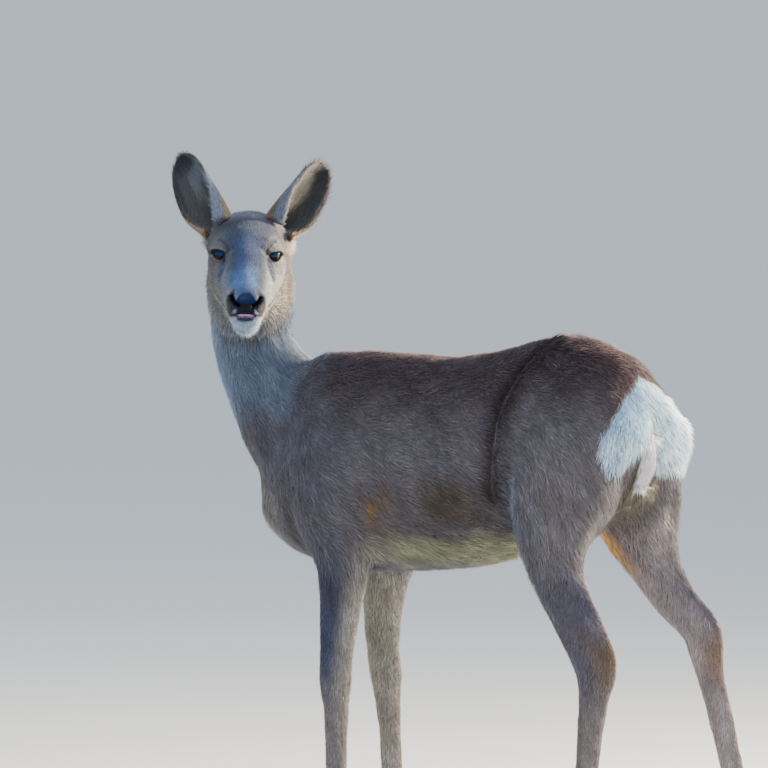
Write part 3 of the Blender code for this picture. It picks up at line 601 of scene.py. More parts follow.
def leg_markings(colours, places, normals):
    """Greyish fronts, tan insides and backs, orange-brown inner thighs and darker hocks."""
    x, y, z = (places + (0.004 * ripple(places, 0.03, 14))[:, None]).T
    inward = ramp(0.05, 0.75, -normals[:, 0] * np.sign(x))
    behind = ramp(0.0, 0.8, normals[:, 1])
    leg = ramp(0.45, 0.39, z)
    pale = np.maximum(inward, 0.65 * behind * (y < 0))
    thigh = ramp(0.53, 0.47, z) * (y > 0.05) * inward
    groin = hump(0.0, 0.050, z - 0.455) * inward * hump(0.0, 0.045, y - 0.185 - (0.45 - z))
    cleft = ramp(0.600, 0.585, z) * ramp(0.44, 0.50, z) * ramp(0.045, 0.020, np.abs(x)) * (y > 0.2)
    hock = hump(0.0, 0.06, z - 0.31) * (y > 0.1) * ramp(-0.2, 0.6, normals[:, 1])
    return paint(colours, [
        # painted sky light in the blue of the leg fronts
        ("leg_front", leg * (y < 0)),
        ("gaskin", leg * (y > 0)),
        ("leg_inside", 0.90 * leg * pale * (y < 0)),
        ("shank", 0.75 * ramp(0.30, 0.22, z) * (1 - 0.4 * pale)),
        ("hind_inside", 0.9 * thigh),
        ("groin", groin),
        ("cleft", cleft),
        ("hock", 0.7 * hock),
    ])


# edge of the white patch: its reach round the rump at each height, as a turn, and the
# height of its lower edge at each turn, to the right (less than 0) and to the left
LOBE_HEIGHTS = [0.540, 0.549, 0.565, 0.590, 0.618, 0.646, 0.660, 0.668, 0.675]
LOBE_TURNS = [0.60, 0.82, 0.92, 0.95, 0.84, 0.56, 0.35, 0.14, -0.20]
UNDER_TURNS = [-0.85, -0.30, -0.14, 0.0, 0.12, 0.37, 0.62, 0.85]
UNDER_HEIGHTS = [0.546, 0.548, 0.565, 0.600, 0.598, 0.578, 0.556, 0.545]
RUMP_MIDDLE = 0.215             # place along the body of the rump's round
RUMP_RADIUS = 0.085


def patch_edge(places):
    """Distance inside the edge of the white rump patch, an upturned heart round the tail."""
    wobble = 0.004 * ripple(places, 0.05, 21) + 0.002 * ripple(places, 0.016, 22)
    x, y, z = places.T
    turn = np.abs(np.arctan2(x, np.maximum(y - RUMP_MIDDLE, 1e-4)))
    lobe = np.interp(z, LOBE_HEIGHTS, LOBE_TURNS)
    under = np.interp(turn * np.sign(x), UNDER_TURNS, UNDER_HEIGHTS)
    inside = np.minimum((lobe - turn) * RUMP_RADIUS, z - under) + wobble
    return np.where(y > RUMP_MIDDLE + 0.010, inside, -1.0)


def beside_ears(aside, coordinates):
    """1 in the long pale hair that stands out from the head below the ears."""
    return ramp(0.046, 0.056, np.abs(aside)) * hump(0.0, 0.026, seen_height(coordinates) + 0.004)


def skull_layers(coordinates, f, s, u):
    """Temples, dark forehead, bluish bridge, pale lower bridge, crown, jaw and ear hair. The blue
    of forehead and bridges is painted sky light, and on the head's right side the temple's dark is
    painted shade that reaches farther forward.
    """
    top = ramp(-0.004, 0.010, u)
    # painted shade: the head's right side takes the temple's dark fully, the left side only in part
    shaded = 0.3 + 0.7 * ramp(0.012, -0.012, s)
    stripe = ramp(0.020, 0.006, np.abs(s)) * top
    # painted sky light: the pale blue lower bridge, set off towards the head's right side
    low = hump(0.172, 0.036, f) * top * ramp(0.025, 0.010, np.abs(s + 0.004))
    return [
        ("temple", np.maximum(ramp(0.10, 0.06, f), shaded * ramp(0.150, 0.105, f))),
        ("forehead", ramp(0.034, 0.014, np.abs(s) - 0.012 * ramp(0.13, 0.04, f)) * top),
        ("bridge", 0.9 * stripe * hump(0.115, 0.060, f)),
        ("low_bridge", low),
        ("crown", 0.9 * ramp(0.050, 0.022, f) * ramp(0.0, 0.02, u)),
        ("jaw", ramp(-0.022, -0.040, u) * ramp(0.05, 0.09, f)),
        ("ear_hair", beside_ears(s, coordinates)),
    ]


# the dark hollow before the eye: its inner and outer edges at each level, facing the nose
TEAR_LEVELS = [-0.0620, -0.0513, -0.0411, -0.0363, -0.0290]
TEAR_INNER = [0.0336, 0.0300, 0.0262, 0.0252, 0.0246]
TEAR_OUTER = [0.0350, 0.0356, 0.0356, 0.0352, 0.0310]


def eye_layers(coordinates, f, s):
    """Pale lids, the dark crease above and before each eye, its tear hollow and dark rim; the
    crease and the hollow are painted shade, the hollow with painted blue sky light.
    """
    layers = []
    for side in (1, -1):
        out, _, reach, _ = eye_measure(coordinates, side)
        near = reach < EYE_ROOM
        ahead = (f > 0.062) * (s * side > 0)
        plane = face_plane(coordinates, side)
        aside, level = plane.T
        brow = hump(0.0, 0.0038, line_distance(plane, BROW)) * ramp(-0.038, -0.018, level)
        inside = np.minimum(aside - np.interp(level, TEAR_LEVELS, TEAR_INNER),
                            np.interp(level, TEAR_LEVELS, TEAR_OUTER) - aside)
        tear = ramp(-0.0024, 0.0026, inside) * ramp(-0.0630, -0.0580, level)
        tear *= ramp(-0.0260, -0.0290, level) * ramp(0.090, 0.104, f)
        layers += [("lid", 0.8 * hump(1.35, 0.40, out) * near),
                   # painted shade along the fold above and before the eye
                   ("crease", 0.70 * brow * ahead),
                   # painted shade with painted blue sky light in the tear hollow
                   ("tear", 0.85 * tear * ahead),
                   ("crease", 0.9 * ramp(1.14, 1.03, out) * near)]
    return layers


# half width at each level of the black round the nostrils, and of the clear field in it
WING_LEVELS = [-0.1092, -0.1078, -0.1022, -0.0957, -0.0868, -0.0791, -0.0714, -0.0700]
WING_HALF = [0.012, 0.0183, 0.0202, 0.0243, 0.0250, 0.0235, 0.0165, 0.0145]
CLEAR_LEVELS = [-0.0860, -0.0842, -0.0778, -0.0746]
CLEAR_HALF = [0.0145, 0.0132, 0.0085, 0.004]


def dark_muzzle(coordinates):
    """1 in the black field round the nostrils, a pair of wings that meet under the pad."""
    f, s, _ = coordinates.T
    seen, out = seen_height(coordinates), np.abs(s)
    wing = np.interp(seen, WING_LEVELS, WING_HALF)
    field = ramp(0.0008, -0.0008, out - wing) * ramp(-0.0695, -0.0715, seen)
    strip = ramp(-0.0005, 0.0005, out - np.interp(seen, CLEAR_LEVELS, CLEAR_HALF))
    strip = strip * ramp(0.0148, 0.0138, out) * ramp(-0.0862, -0.0845, seen)
    above_pad = ramp(-0.0752, -0.0735, seen) * (out < 0.0142)
    above, _ = mouth_offset(coordinates)
    return field * (1 - np.maximum(strip, above_pad)) * ramp(-0.0016, 0.0, above) * (f > 0.16)


def mouth_layers(coordinates, f, s):
    """Black muzzle, white chin and lip spots, dark lower lip, nose pad, mouth and tongue; the chin,
    spots and tongue carry painted blue sky light, the pad's top a painted sky reflection, and the
    mouth's gap painted shade.
    """
    above, gap = mouth_offset(coordinates)
    seen, out = seen_height(coordinates), np.abs(s)
    chin = ramp(0.0, -0.0022, above + gap + 0.0012) * ramp(0.163, 0.176, f)
    chin *= ramp(0.022, 0.017, out - 0.010 * ramp(-0.112, -0.122, seen))
    sag = 0.0050 * np.clip(1.0 - (s / 0.0118) ** 2, 0.0, 1.0)
    lip = ramp(-0.0008, 0.0004, above + gap + sag) * (above + gap < 0.0006) * (sag > 0.0005)
    spots = [hump(0.0, 0.0036, np.hypot((s - 0.0125 * side) * 1.5, seen + 0.0978)) * (f > 0.19)
             for side in (1, -1)]
    # painted reflection: a blue sky glint on the upper face of the nose pad
    blue = nose_mask(coordinates) * ramp(-0.0890, -0.0865, seen) * ramp(0.0125, 0.0105, out)
    inside = ramp(gap + 0.0004, gap - 0.0002, np.abs(above)) * (f > 0.186) * (out < 0.014)
    return [
        ("muzzle", dark_muzzle(coordinates)),
        ("chin", chin),
        ("muzzle", 0.95 * lip * (f > 0.18)),
        ("chin", 0.9 * np.sqrt(spots[0])),
        ("chin", 0.9 * np.sqrt(spots[1])),
        ("nose", nose_mask(coordinates)),
        ("pad", blue),
        # painted shade in the gap between the lips
        ("mouth", inside),
        ("tongue", inside * ramp(0.0024, 0.0014, above) * (gap > 0.001)),
    ]


def face_markings(colours, places):
    """Grey forehead and bridge under painted blue sky light, brown cheeks, black muzzle, white
    chin, golden jowl, and a painted shadow below the jowl's long hair.
    """
    coordinates = to_head(places)
    f, s, u = (coordinates + 0.0015 * ripple(places, 0.012, 31)[:, None]).T
    face = np.tile(np.array(COAT["cheek"]), (len(places), 1))
    face = paint(face, skull_layers(coordinates, f, s, u))
    face = paint(face, eye_layers(coordinates, f, s))
    face = paint(face, mouth_layers(coordinates, f, s))
    share = ramp(-0.005, 0.025, f) * ramp(-0.085, -0.060, u)
    colours = mixed(colours, face, share * (f < HEAD_FRONT) * (places[:, 2] > HEAD_FLOOR))
    jowl = jowl_depth(coordinates) + 0.0015 * ripple(places, 0.014, 33)
    return paint(colours, [
        ("jowl", 0.65 * ramp(0.0, 0.012, jowl)),
        ("jowl_fringe", 0.45 * hump(0.0045, 0.0060, jowl)),
        # painted shadow below the edge of the jowl's long hair
        ("jowl_shadow", 0.45 * hump(-0.0030, 0.0036, jowl)),
    ])


def coat_colour(places, normals):
    """The coat's colour at places in the body's frame, for hide and hair alike."""
    x, _, z = places.T
    colours = body_markings(places, normals)
    colours = leg_markings(colours, places, normals)
    inside = patch_edge(places)
    # painted shade: fold and shade darken the coat in and beside the haunch's fold, fully only on
    # the body's left side
    away = haunch_fold(places + (0.003 * ripple(places, 0.03, 23))[:, None])
    shade = hump(0.003, 0.036, away) * (0.35 + 0.40 * ramp(0.53, 0.62, z))
    fold = np.maximum(0.88 * np.sqrt(hump(0.001, 0.0160, away)), shade) * ramp(0.490, 0.515, z)
    colours = paint(colours, [
        ("rust", 0.8 * (hump(-0.004, 0.012, inside) * ramp(0.60, 0.645, z))),
        # the white patch with painted blue sky light
        ("patch", ramp(-0.002, 0.003, inside)),
        ("fold", fold * ramp(-0.20, 0.06, x)),
    ])
    return face_markings(colours, places)


def add_tint(mesh, colours, name="tint"):
    """Stores a colour at each vertex, for the material to read."""
    layer = mesh.color_attributes.new(name, "FLOAT_COLOR", "POINT")
    padded = np.ones((len(colours), 4), np.float32)
    padded[:, :3] = np.clip(colours, 0, 1)
    layer.data.foreach_set("color", padded.ravel())


def new_material(name, **settings):
    """A material's node tree and shader, with the shader's inputs set as named."""
    material = bpy.data.materials.new(name)
    material.use_nodes = True
    shader = material.node_tree.nodes["Principled BSDF"]
    for word, value in settings.items():
        shader.inputs[word.replace("_", " ")].default_value = value
    return material, material.node_tree, shader


def add_node(tree, kind, **settings):
    """A new node of that kind with its inputs set as named."""
    node = tree.nodes.new("ShaderNode" + kind)
    for word, value in settings.items():
        node.inputs[word.replace("_", " ")].default_value = value
    return node


def read_colours(tree, name):
    """A node that reads the colours stored on the mesh under that name."""
    node = tree.nodes.new("ShaderNodeAttribute")
    node.attribute_name = name
    return node


def add_noise(tree, **settings):
    """Fine noise fixed to the piece."""
    noise = add_node(tree, "TexNoise", **settings)
    place = tree.nodes.new("ShaderNodeTexCoord")
    tree.links.new(place.outputs["Object"], noise.inputs["Vector"])
    return noise


def add_bump(tree, shader, noise, strength, distance):
    """Lets the noise stand out from the surface by up to a distance."""
    bump = add_node(tree, "Bump", Strength=strength, Distance=distance)
    tree.links.new(noise.outputs["Fac"], bump.inputs["Height"])
    tree.links.new(bump.outputs["Normal"], shader.inputs["Normal"])


def mottle_tint(tree, shader, noise, darkest, palest):
    """Base colour: the tint times the noise, spread between a darkest and a palest factor."""
    factor = add_node(tree, "MapRange", To_Min=darkest, To_Max=palest)
    colour = tree.nodes.new("ShaderNodeVectorMath")
    colour.operation = "SCALE"
    tree.links.new(noise.outputs["Fac"], factor.inputs["Value"])
    tree.links.new(read_colours(tree, "tint").outputs["Color"], colour.inputs[0])
    tree.links.new(factor.outputs["Result"], colour.inputs["Scale"])
    tree.links.new(colour.outputs["Vector"], shader.inputs["Base Color"])


def hide_material():
    """Short dense underfur and skin: the marking colour, softly mottled, with a fine nap."""
    material, tree, shader = new_material("hide", Specular_IOR_Level=0.10)
    nap = add_noise(tree, Scale=900.0, Detail=3.0)
    mottle_tint(tree, shader, nap, 0.72, 1.20)
    dull = add_node(tree, "MapRange", To_Min=0.80, To_Max=0.34)
    tree.links.new(read_colours(tree, "gloss").outputs["Fac"], dull.inputs["Value"])
    tree.links.new(dull.outputs["Result"], shader.inputs["Roughness"])
    add_bump(tree, shader, nap, 0.45, 0.0006)
    return material


def finish_piece(name, mesh, material, slot, *stands_for):
    """Smooths a mesh and makes it a piece that rides with the body in its solids' place."""
    mesh.shade_smooth()
    mesh.materials.clear()
    mesh.materials.append(material)
    piece = bpy.data.objects.new(name, mesh)
    bpy.context.scene.collection.objects.link(piece)
    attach(piece, "root")
    if stands_for:
        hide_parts(*stands_for)


hide_places, hide_normals = read_mesh(hide_mesh)
hide_places = hide_places + SHIFT
add_tint(hide_mesh, coat_colour(hide_places, hide_normals))
naked = nose_mask(to_head(hide_places)) * (hide_places[:, 2] > 0.70)
add_tint(hide_mesh, np.tile(naked[:, None], (1, 3)), "gloss")
finish_piece("hide", hide_mesh, hide_material(), "coat", *FLESH)

# ================================================================ the coat
# Winter hair in flat pointed locks over the whole hide. The locks lie back along the
# trunk, down the neck and legs, and up the face from the nose, and each takes its colour
# from the marking at its root, a little darker there and paler at the tip.
COVER = 2.6                     # how many locks lie over any place
ROOT_SINK = 0.0006              # how deep a lock is set in the skin
PATCH = 0.003                   # size of a lock's own place on the baking map
NECK_LINE = np.array([
    (0.000, -0.175, 0.545), (0.000, -0.250, 0.572), (0.005, -0.311, 0.625),
    (0.013, -0.343, 0.690), (0.020, -0.343, 0.745), (0.029, -0.338, 0.790),
    (0.036, -0.334, 0.825)])
TAIL_ROOT = np.array([0.0, 0.262, 0.668])


def down_the_neck(places):
    """Direction of the neck's line from head to shoulders beside each place."""
    steps = np.linspace(0, len(NECK_LINE) - 1, 40)
    knots = np.arange(len(NECK_LINE))
    line = np.column_stack([np.interp(steps, knots, NECK_LINE[:, k]) for k in range(3)])
    run = -unit(np.gradient(line, axis=0))
    best = np.zeros(len(places), int)
    least = np.full(len(places), 9.0)
    for i, point in enumerate(line):
        away = np.linalg.norm(places - point, axis=1)
        closer = away < least
        best[closer] = i
        least[closer] = away[closer]
    return run[best]


def head_share(places):
    """1 on the head, fading out behind the jaw and the ears."""
    f, s, u = to_head(places).T
    share = ramp(-0.010, 0.030, f) * ramp(-0.090, -0.055, u) * (f < HEAD_FRONT)
    return share * (np.abs(s) < 0.08) * (places[:, 2] > HEAD_FLOOR)


def lie_of_coat(places, normals):
    """The way the hair lies: a blend of the trunk's, neck's, legs', rump's and head's own."""
    x, y, z = places.T
    down = -0.30 * np.abs(normals[:, 0]) - 0.9 * ramp(0.10, 0.9, normals[:, 1])
    lie = np.column_stack([0.0 * x, 1.0 + 0 * x, down])
    lie = mixed(lie, np.array([0.0, 0.45, -0.95]), ramp(0.10, 0.19, y) * ramp(0.66, 0.50, z))
    shoulder = ramp(-0.12, -0.22, y) * ramp(0.66, 0.52, z)
    lie = mixed(lie, np.array([0.0, 0.35, -0.95]), 0.8 * shoulder)
    lie = mixed(lie, np.array([0.0, 0.10, -1.0]), ramp(0.47, 0.38, z))
    on_neck = ramp(-0.235, -0.300, y + 0.3 * (z - 0.64)) * ramp(0.50, 0.58, z)
    lie = mixed(lie, down_the_neck(places), on_neck)
    spread = unit(places - TAIL_ROOT - np.array([0.0, 0.0, 0.024])) + [0, 0, -0.35]
    lie = mixed(lie, spread, ramp(-0.012, 0.006, patch_edge(places)))
    _, s, u = to_head(places).T
    back = np.column_stack([-np.ones(len(places)), 0.30 * np.sign(s) * ramp(0.005, 0.03, np.abs(s)),
                            -0.45 * ramp(0.01, -0.03, u) + 0.15 * ramp(0.0, 0.02, u)])
    lie = mixed(lie, unit(back) @ HEAD_AXES, head_share(places))
    lie = along_skin(lie, normals)
    turn = 0.22 * ripple(places, 0.045, 41)
    return unit(lie * np.cos(turn)[:, None] + np.cross(lie, normals) * np.sin(turn)[:, None])


def along_skin(lie, normals):
    """Directions laid flat on the skin, at length 1."""
    return unit(lie - normals * np.sum(lie * normals, axis=1)[:, None])


# length, width and height of a lock
LOCKS = {
    "trunk": (0.0175, 0.00118, 0.0046), "neck": (0.0160, 0.00100, 0.0036),
    "belly": (0.0210, 0.00135, 0.0062), "patch": (0.0200, 0.00130, 0.0075),
    "leg": (0.0105, 0.00105, 0.0023), "foot": (0.0072, 0.00095, 0.0016),
    "head": (0.0090, 0.00085, 0.0025), "face": (0.0058, 0.00064, 0.0012),
    "muzzle": (0.0040, 0.00055, 0.0008), "lids": (0.0028, 0.00050, 0.0005),
    "jaw": (0.0140, 0.00090, 0.0050), "ear_foot": (0.0200, 0.00090, 0.0120),
    "jowl": (0.0110, 0.00090, 0.0034), "jowl_fringe": (0.0150, 0.00085, 0.0042),
    "beard": (0.0125, 0.00065, 0.0066),
}


def lock_sizes(places):
    """Length, width and height of a lock at each place, layer over layer as in paint."""
    _, y, z = places.T
    coordinates = to_head(places)
    f, s, u = coordinates.T
    share = head_share(places)
    jowl = jowl_depth(coordinates)
    layers = [
        ("neck", over_neck(y, z)),
        ("belly", ramp(0.47, 0.42, z) * (np.abs(y) < 0.2)),
        ("patch", ramp(-0.004, 0.008, patch_edge(places))),
        ("leg", ramp(0.44, 0.36, z)),
        ("foot", ramp(0.30, 0.12, z)),
        ("head", share),
        ("face", share * ramp(0.03, 0.10, f)),
        ("muzzle", share * ramp(0.14, 0.185, f)),
    ]
    for side in (1, -1):
        out, _, reach, _ = eye_measure(coordinates, side)
        layers.append(("lids", ramp(2.2, 1.2, out) * (reach < EYE_ROOM)))
    layers += [
        ("jaw", share * ramp(-0.030, -0.046, u) * ramp(0.19, 0.12, f)),
        ("ear_foot", share * beside_ears(s, coordinates)),
        ("jowl", ramp(0.0, 0.004, jowl)),
        ("jowl_fringe", ramp(-0.001, 0.001, jowl) * ramp(0.014, 0.008, jowl)),
        ("beard", share * ramp(-0.040, -0.047, u) * ramp(0.15, 0.17, f)),
    ]
    size = np.tile(LOCKS["trunk"], (len(places), 1))
    for name, weight in layers:
        size = mixed(size, np.array(LOCKS[name]), weight)
    return size


HAIR_FLOOR = 0.028              # below it are only the hooves


def bare(places):
    """Where no hair grows: the nose, the lips' edges and gap, the eyes, and inside the hooves."""
    coordinates = to_head(places)
    f = coordinates[:, 0]
    above, gap = mouth_offset(coordinates)
    none = nose_mask(coordinates) > 0.35
    none |= (np.abs(above) < gap + 0.0007) & (f > MOUTH_BACK) & (f < HEAD_FRONT)
    for side in (1, -1):
        out, _, reach, _ = eye_measure(coordinates, side)
        none |= (out < 1.10) & (reach < 0.030)
    return none & (places[:, 2] > HEAD_FLOOR) | (places[:, 2] < HAIR_FLOOR)


def scatter(mesh, density_of, seed):
    """Roots spread evenly over a mesh: an even stride through its faces' running total of
    area times density, and a random place in each face. Returns places and normals, and
    the corners of each root's face with its weights on them."""
    mesh.calc_loop_triangles()
    corners = np.empty(len(mesh.loop_triangles) * 3, np.int64)
    mesh.loop_triangles.foreach_get("vertices", corners)
    corners = corners.reshape(-1, 3)
    places, normals = read_mesh(mesh)
    a, b, c = (places[corners[:, k]] for k in range(3))
    area = np.linalg.norm(np.cross(b - a, c - a), axis=1) / 2.0
    total = np.cumsum(area * density_of((a + b + c) / 3.0))
    dice = np.random.default_rng(seed)
    count = int(total[-1])
    stride = (np.arange(count) + dice.uniform(0, 1, count)) * (total[-1] / count)
    face = np.minimum(np.searchsorted(total, stride), len(corners) - 1)
    u, v = dice.uniform(0, 1, (2, count))
    over = u + v > 1
    u[over], v[over] = 1 - u[over], 1 - v[over]
    weights = np.column_stack([1 - u - v, u, v])[:, :, None]
    chosen = corners[face]
    roots = (places[chosen] * weights).sum(1)
    return roots, unit((normals[chosen] * weights).sum(1)), chosen, weights


# a lock is a small triangle at the root and a point: its faces, the tone of each corner as
# a share of its colour, and the corners' places in its patch of the baking map
SPIKE_FACES = np.array([(0, 1, 2), (0, 3, 1), (0, 2, 3), (1, 3, 2)])
SPIKE_TONE = np.array([0.72, 0.72, 0.86, 1.18])
SPIKE_MAP = np.array([(0, 0), (1, 0), (0.5, 0.4), (0.5, 1.0)])


def spikes(roots, normals, lie, size):
    """Straight short locks: a small root triangle drawn out to the tip."""
    length, width, height = (size[:, k:k + 1] for k in range(3))
    aside = np.cross(lie, normals)
    base = roots - normals * ROOT_SINK * 0.5
    along = lie * np.sqrt(np.maximum(length ** 2 - height ** 2, 1e-8))
    return np.stack([base - aside * width / 2, base + aside * width / 2,
                     base + normals * width * 0.5, roots + along + normals * height], axis=1)


def plain_mesh(name, points, faces):
    """A mesh from arrays of points and of faces with equal numbers of corners."""
    mesh = bpy.data.meshes.new(name)
    sides = faces.shape[1]
    mesh.vertices.add(len(points))
    mesh.vertices.foreach_set("co", np.ascontiguousarray(points, np.float32).ravel())
    mesh.loops.add(faces.size)
    mesh.loops.foreach_set("vertex_index", np.ascontiguousarray(faces, np.int32).ravel())
    mesh.polygons.add(len(faces))
    mesh.polygons.foreach_set("loop_start", np.arange(0, faces.size, sides, dtype=np.int32))
    mesh.update(calc_edges=True)
    return mesh


def hair_piece(name, slot, roots, normals, lie, size, colours, places_on_map):
    """A lock at every root, joined into one mesh with a tint and a baking map, as a piece."""
    shapes = spikes(roots, normals, lie, size)
    count, corners = shapes.shape[:2]
    faces = (SPIKE_FACES[None] + (np.arange(count) * corners)[:, None, None]).reshape(-1, 3)
    mesh = plain_mesh(name, shapes.reshape(-1, 3) - SHIFT, faces)
    add_tint(mesh, (colours[:, None, :] * SPIKE_TONE[None, :, None]).reshape(-1, 3))
    uv = mesh.uv_layers.new(name="OFBake")
    spots = (places_on_map[:, None, :] + SPIKE_MAP[None] * PATCH).reshape(-1, 2)
    uv.data.foreach_set("uv", spots[faces.ravel()].astype(np.float32).ravel())
    finish_piece(name, mesh, COAT_HAIR, slot)


def unroll(places, centre, axis, zero):
    """A cylinder's unwrap: the turn round an axis, and the distance along it, from 0 to 1."""
    axis = unit(np.array(axis, float))
    zero = unit(np.array(zero, float) - axis * np.dot(zero, axis))
    offset = places - centre
    turn = np.arctan2(offset @ np.cross(axis, zero), offset @ zero) / (2 * np.pi) + 0.5
    along = offset @ axis
    along = (along - along.min()) / max(np.ptp(along), 1e-6)
    return np.column_stack([turn, along]) * (1 - 2 * PATCH) + PATCH * 0.5


def hair_material():
    """Hair: the lock's own tint, a little broken up, with a soft silky gloss."""
    material, tree, shader = new_material(
        "coat_hair", Roughness=0.60, Specular_IOR_Level=0.25, Sheen_Weight=0.10,
        Sheen_Roughness=0.45)
    mottle_tint(tree, shader, add_noise(tree, Scale=420.0, Detail=2.0), 0.80, 1.18)
    return material


COAT_HAIR = hair_material()

REGIONS = ["shoulder_left", "shoulder_right", "barrel_left", "barrel_right",
           "haunch_left", "haunch_right", "neck_left", "neck_right",
           "foreleg_left", "foreleg_right", "hindleg_left", "hindleg_right",
           "head_left", "head_right"]
NECK_MIDDLE = 0.012             # place across the body of the turned neck's midline


def coat_region(places):
    """Which of the coat's regions a root belongs to, by its number in their list."""
    x, y, z = places.T
    right = np.where(x > 0, 0, 1)
    region = right + 2 * (y > -0.045) + 2 * (y > 0.105)
    neck = (y < -0.20) & (z > 0.60 - 0.35 * (y + 0.30))
    region = np.where(neck, np.where(x > NECK_MIDDLE, 6, 7), region)
    region = np.where(z < 0.425, np.where(y < 0.03, 8, 10) + right, region)
    head = head_share(places) > 0.5
    return np.where(head, np.where(to_head(places)[:, 1] > 0, 12, 13), region)


def region_map(word, roots):
    """Places of a region's roots on the baking map: an unwrap of the cylinder round it."""
    if word.startswith("head"):
        return unroll(roots, from_head([0.1, 0.0, -0.005]), HEAD_AXES[0], HEAD_AXES[2])
    if "leg" in word:
        return unroll(roots, roots.mean(axis=0), (0, 0, 1), (0, 1, 0))
    if word.startswith("neck"):
        return unroll(roots, roots.mean(axis=0), (0, 0.2, -1), (0, 1, 0))
    return unroll(roots, np.array([0.0, 0.0, 0.56]), (0, 1, 0), (0, 0, -1))


def root_density(centres):
    """How many locks to a square metre give the cover, at places in the scene's frame."""
    places = centres + SHIFT
    size = lock_sizes(places)
    return np.where(bare(places), 0.0, COVER * 2.0 / (size[:, 0] * size[:, 1]))


def grow_coat():
    """Scatters the roots, works out every lock, and makes one piece for each region."""
    roots, normals, _, _ = scatter(hide_mesh, root_density, 5)
    roots = roots + SHIFT
    kept = ~bare(roots)
    roots, normals = roots[kept], normals[kept]
    dice = np.random.default_rng(6)
    count = len(roots)
    size = lock_sizes(roots)
    size = size * dice.uniform([0.75, 0.75, 0.55], [1.20, 1.25, 1.15], (count, 3))
    size[:, 2] *= 1.0 + 0.22 * ripple(roots, 0.035, 51)
    lie = lie_of_coat(roots, normals)
    stray = dice.normal(0.0, 0.15, count)[:, None]
    lie = unit(lie * np.cos(stray) + np.cross(lie, normals) * np.sin(stray))
    tone = np.exp(dice.normal(0.0, 0.30, count) + 0.16 * ripple(roots, 0.020, 52)
                  + 0.10 * ripple(roots, 0.007, 53) + 0.10 * ripple(roots, 0.055, 54))
    colours = coat_colour(roots, normals) * tone[:, None]
    region = coat_region(roots)
    for number, word in enumerate(REGIONS):
        locks = [values[region == number] for values in (roots, normals, lie, size, colours)]
        hair_piece("fur_" + word, "leg_coat" if "leg" in word else "coat", *locks,
                   region_map(word, locks[0]))


grow_coat()

# ================================================================ the eyes
# Large dark eyes: a glossy ball with the clear bulge of the cornea drawn into it, a brown
# iris and a wide level pupil. A dark rim and two rows of lashes edge the lids round it.
EYE_GRID = (72, 96)             # rows from pole to pole, and columns round
EYE_BULGE = 0.0009              # how far the cornea stands out
EYE_IRIS = 33.0                 # degrees from the middle to the iris's rim
EYE_PUPIL = (15.0, 8.5)         # half length and half height, degrees of the ball
IRIS_BROWN = np.array([0.010, 0.0055, 0.0035])
EYE_WHITE = np.array([0.020, 0.015, 0.014])
EYE_SKY_REFLECTION = np.array([0.003, 0.024, 0.066])     # painted reflection of a blue sky across the ball's upper half


def polar_surface(rows, columns):
    """Angles from the pole and round it for a closed ball, on a grid with shared seams."""
    down = np.linspace(0.0, np.pi, rows)
    round_it = np.linspace(0.0, 2 * np.pi, columns, endpoint=False)
    return np.meshgrid(down, round_it, indexing="ij")


def ring_faces(rows, columns, closed=False):
    """Quads of a grid whose columns close on themselves, and its rows too when closed."""
    r, c = np.meshgrid(np.arange(rows if closed else rows - 1), np.arange(columns), indexing="ij")
    below, beside = (r + 1) % rows, (c + 1) % columns
    corners = [(r, c), (below, c), (below, beside), (r, beside)]
    return np.stack([row * columns + column for row, column in corners], axis=-1).reshape(-1, 4)


def close_poles(mesh):
    """Welds the rings that have shrunk to a point."""
    shape = bmesh.new()
    shape.from_mesh(mesh)
    bmesh.ops.remove_doubles(shape, verts=shape.verts, dist=1e-7)
    bmesh.ops.recalc_face_normals(shape, faces=shape.faces)
    shape.to_mesh(mesh)
    shape.free()


def eye_direction(side, reach, turn):
    """Direction from the eye's middle at an angle from where it looks, turned round that."""
    look, rear, top = eye_axes(side)
    return (np.cos(reach)[..., None] * look
            + np.sin(reach)[..., None] * (np.cos(turn)[..., None] * rear
                                          + np.sin(turn)[..., None] * top))


def eye_surface(name, side, reach, turn, radius, faces):
    """A mesh whose points lie at a distance from the eye's middle in each direction."""
    points = EYE_AT * [1, side, 1] + eye_direction(side, reach, turn) * radius[..., None]
    return plain_mesh(name, from_head(points.reshape(-1, 3)) - SHIFT, faces)


def eye_colour(degrees, turn):
    """Streaked iris in its dark white, a level pupil, and a painted blue sky reflection over the
    upper half.
    """
    across = degrees * np.cos(turn) / EYE_PUPIL[0]
    height = degrees * np.sin(turn)
    pupil = ramp(1.15, 0.90, np.sqrt(across ** 4 + (height / EYE_PUPIL[1]) ** 4) ** 0.5)
    streak = 0.5 + 0.5 * np.sin(turn * 47 + 2 * np.sin(turn * 9))
    colour = IRIS_BROWN * (0.7 + 0.6 * streak[:, None])
    colour = mixed(colour, EYE_WHITE, ramp(EYE_IRIS - 1.5, EYE_IRIS + 2.5, degrees))
    colour = colour * (1 - 0.96 * pupil[:, None])
    sky_reflection = ramp(-8.0, -3.0, height) * ramp(16.0, 10.0, height) * ramp(30.0, 22.0, degrees)
    return mixed(colour, EYE_SKY_REFLECTION, sky_reflection)


def eye_material():
    """Wet eye: iris and pupil colours under a clear, sharp coat."""
    material, tree, shader = new_material(
        "eye_glaze", Roughness=0.30, Coat_Weight=0.12, Coat_Roughness=0.03,
        Specular_IOR_Level=0.05)
    tree.links.new(read_colours(tree, "tint").outputs["Color"], shader.inputs["Base Color"])
    return material


EYE_GLAZE = eye_material()


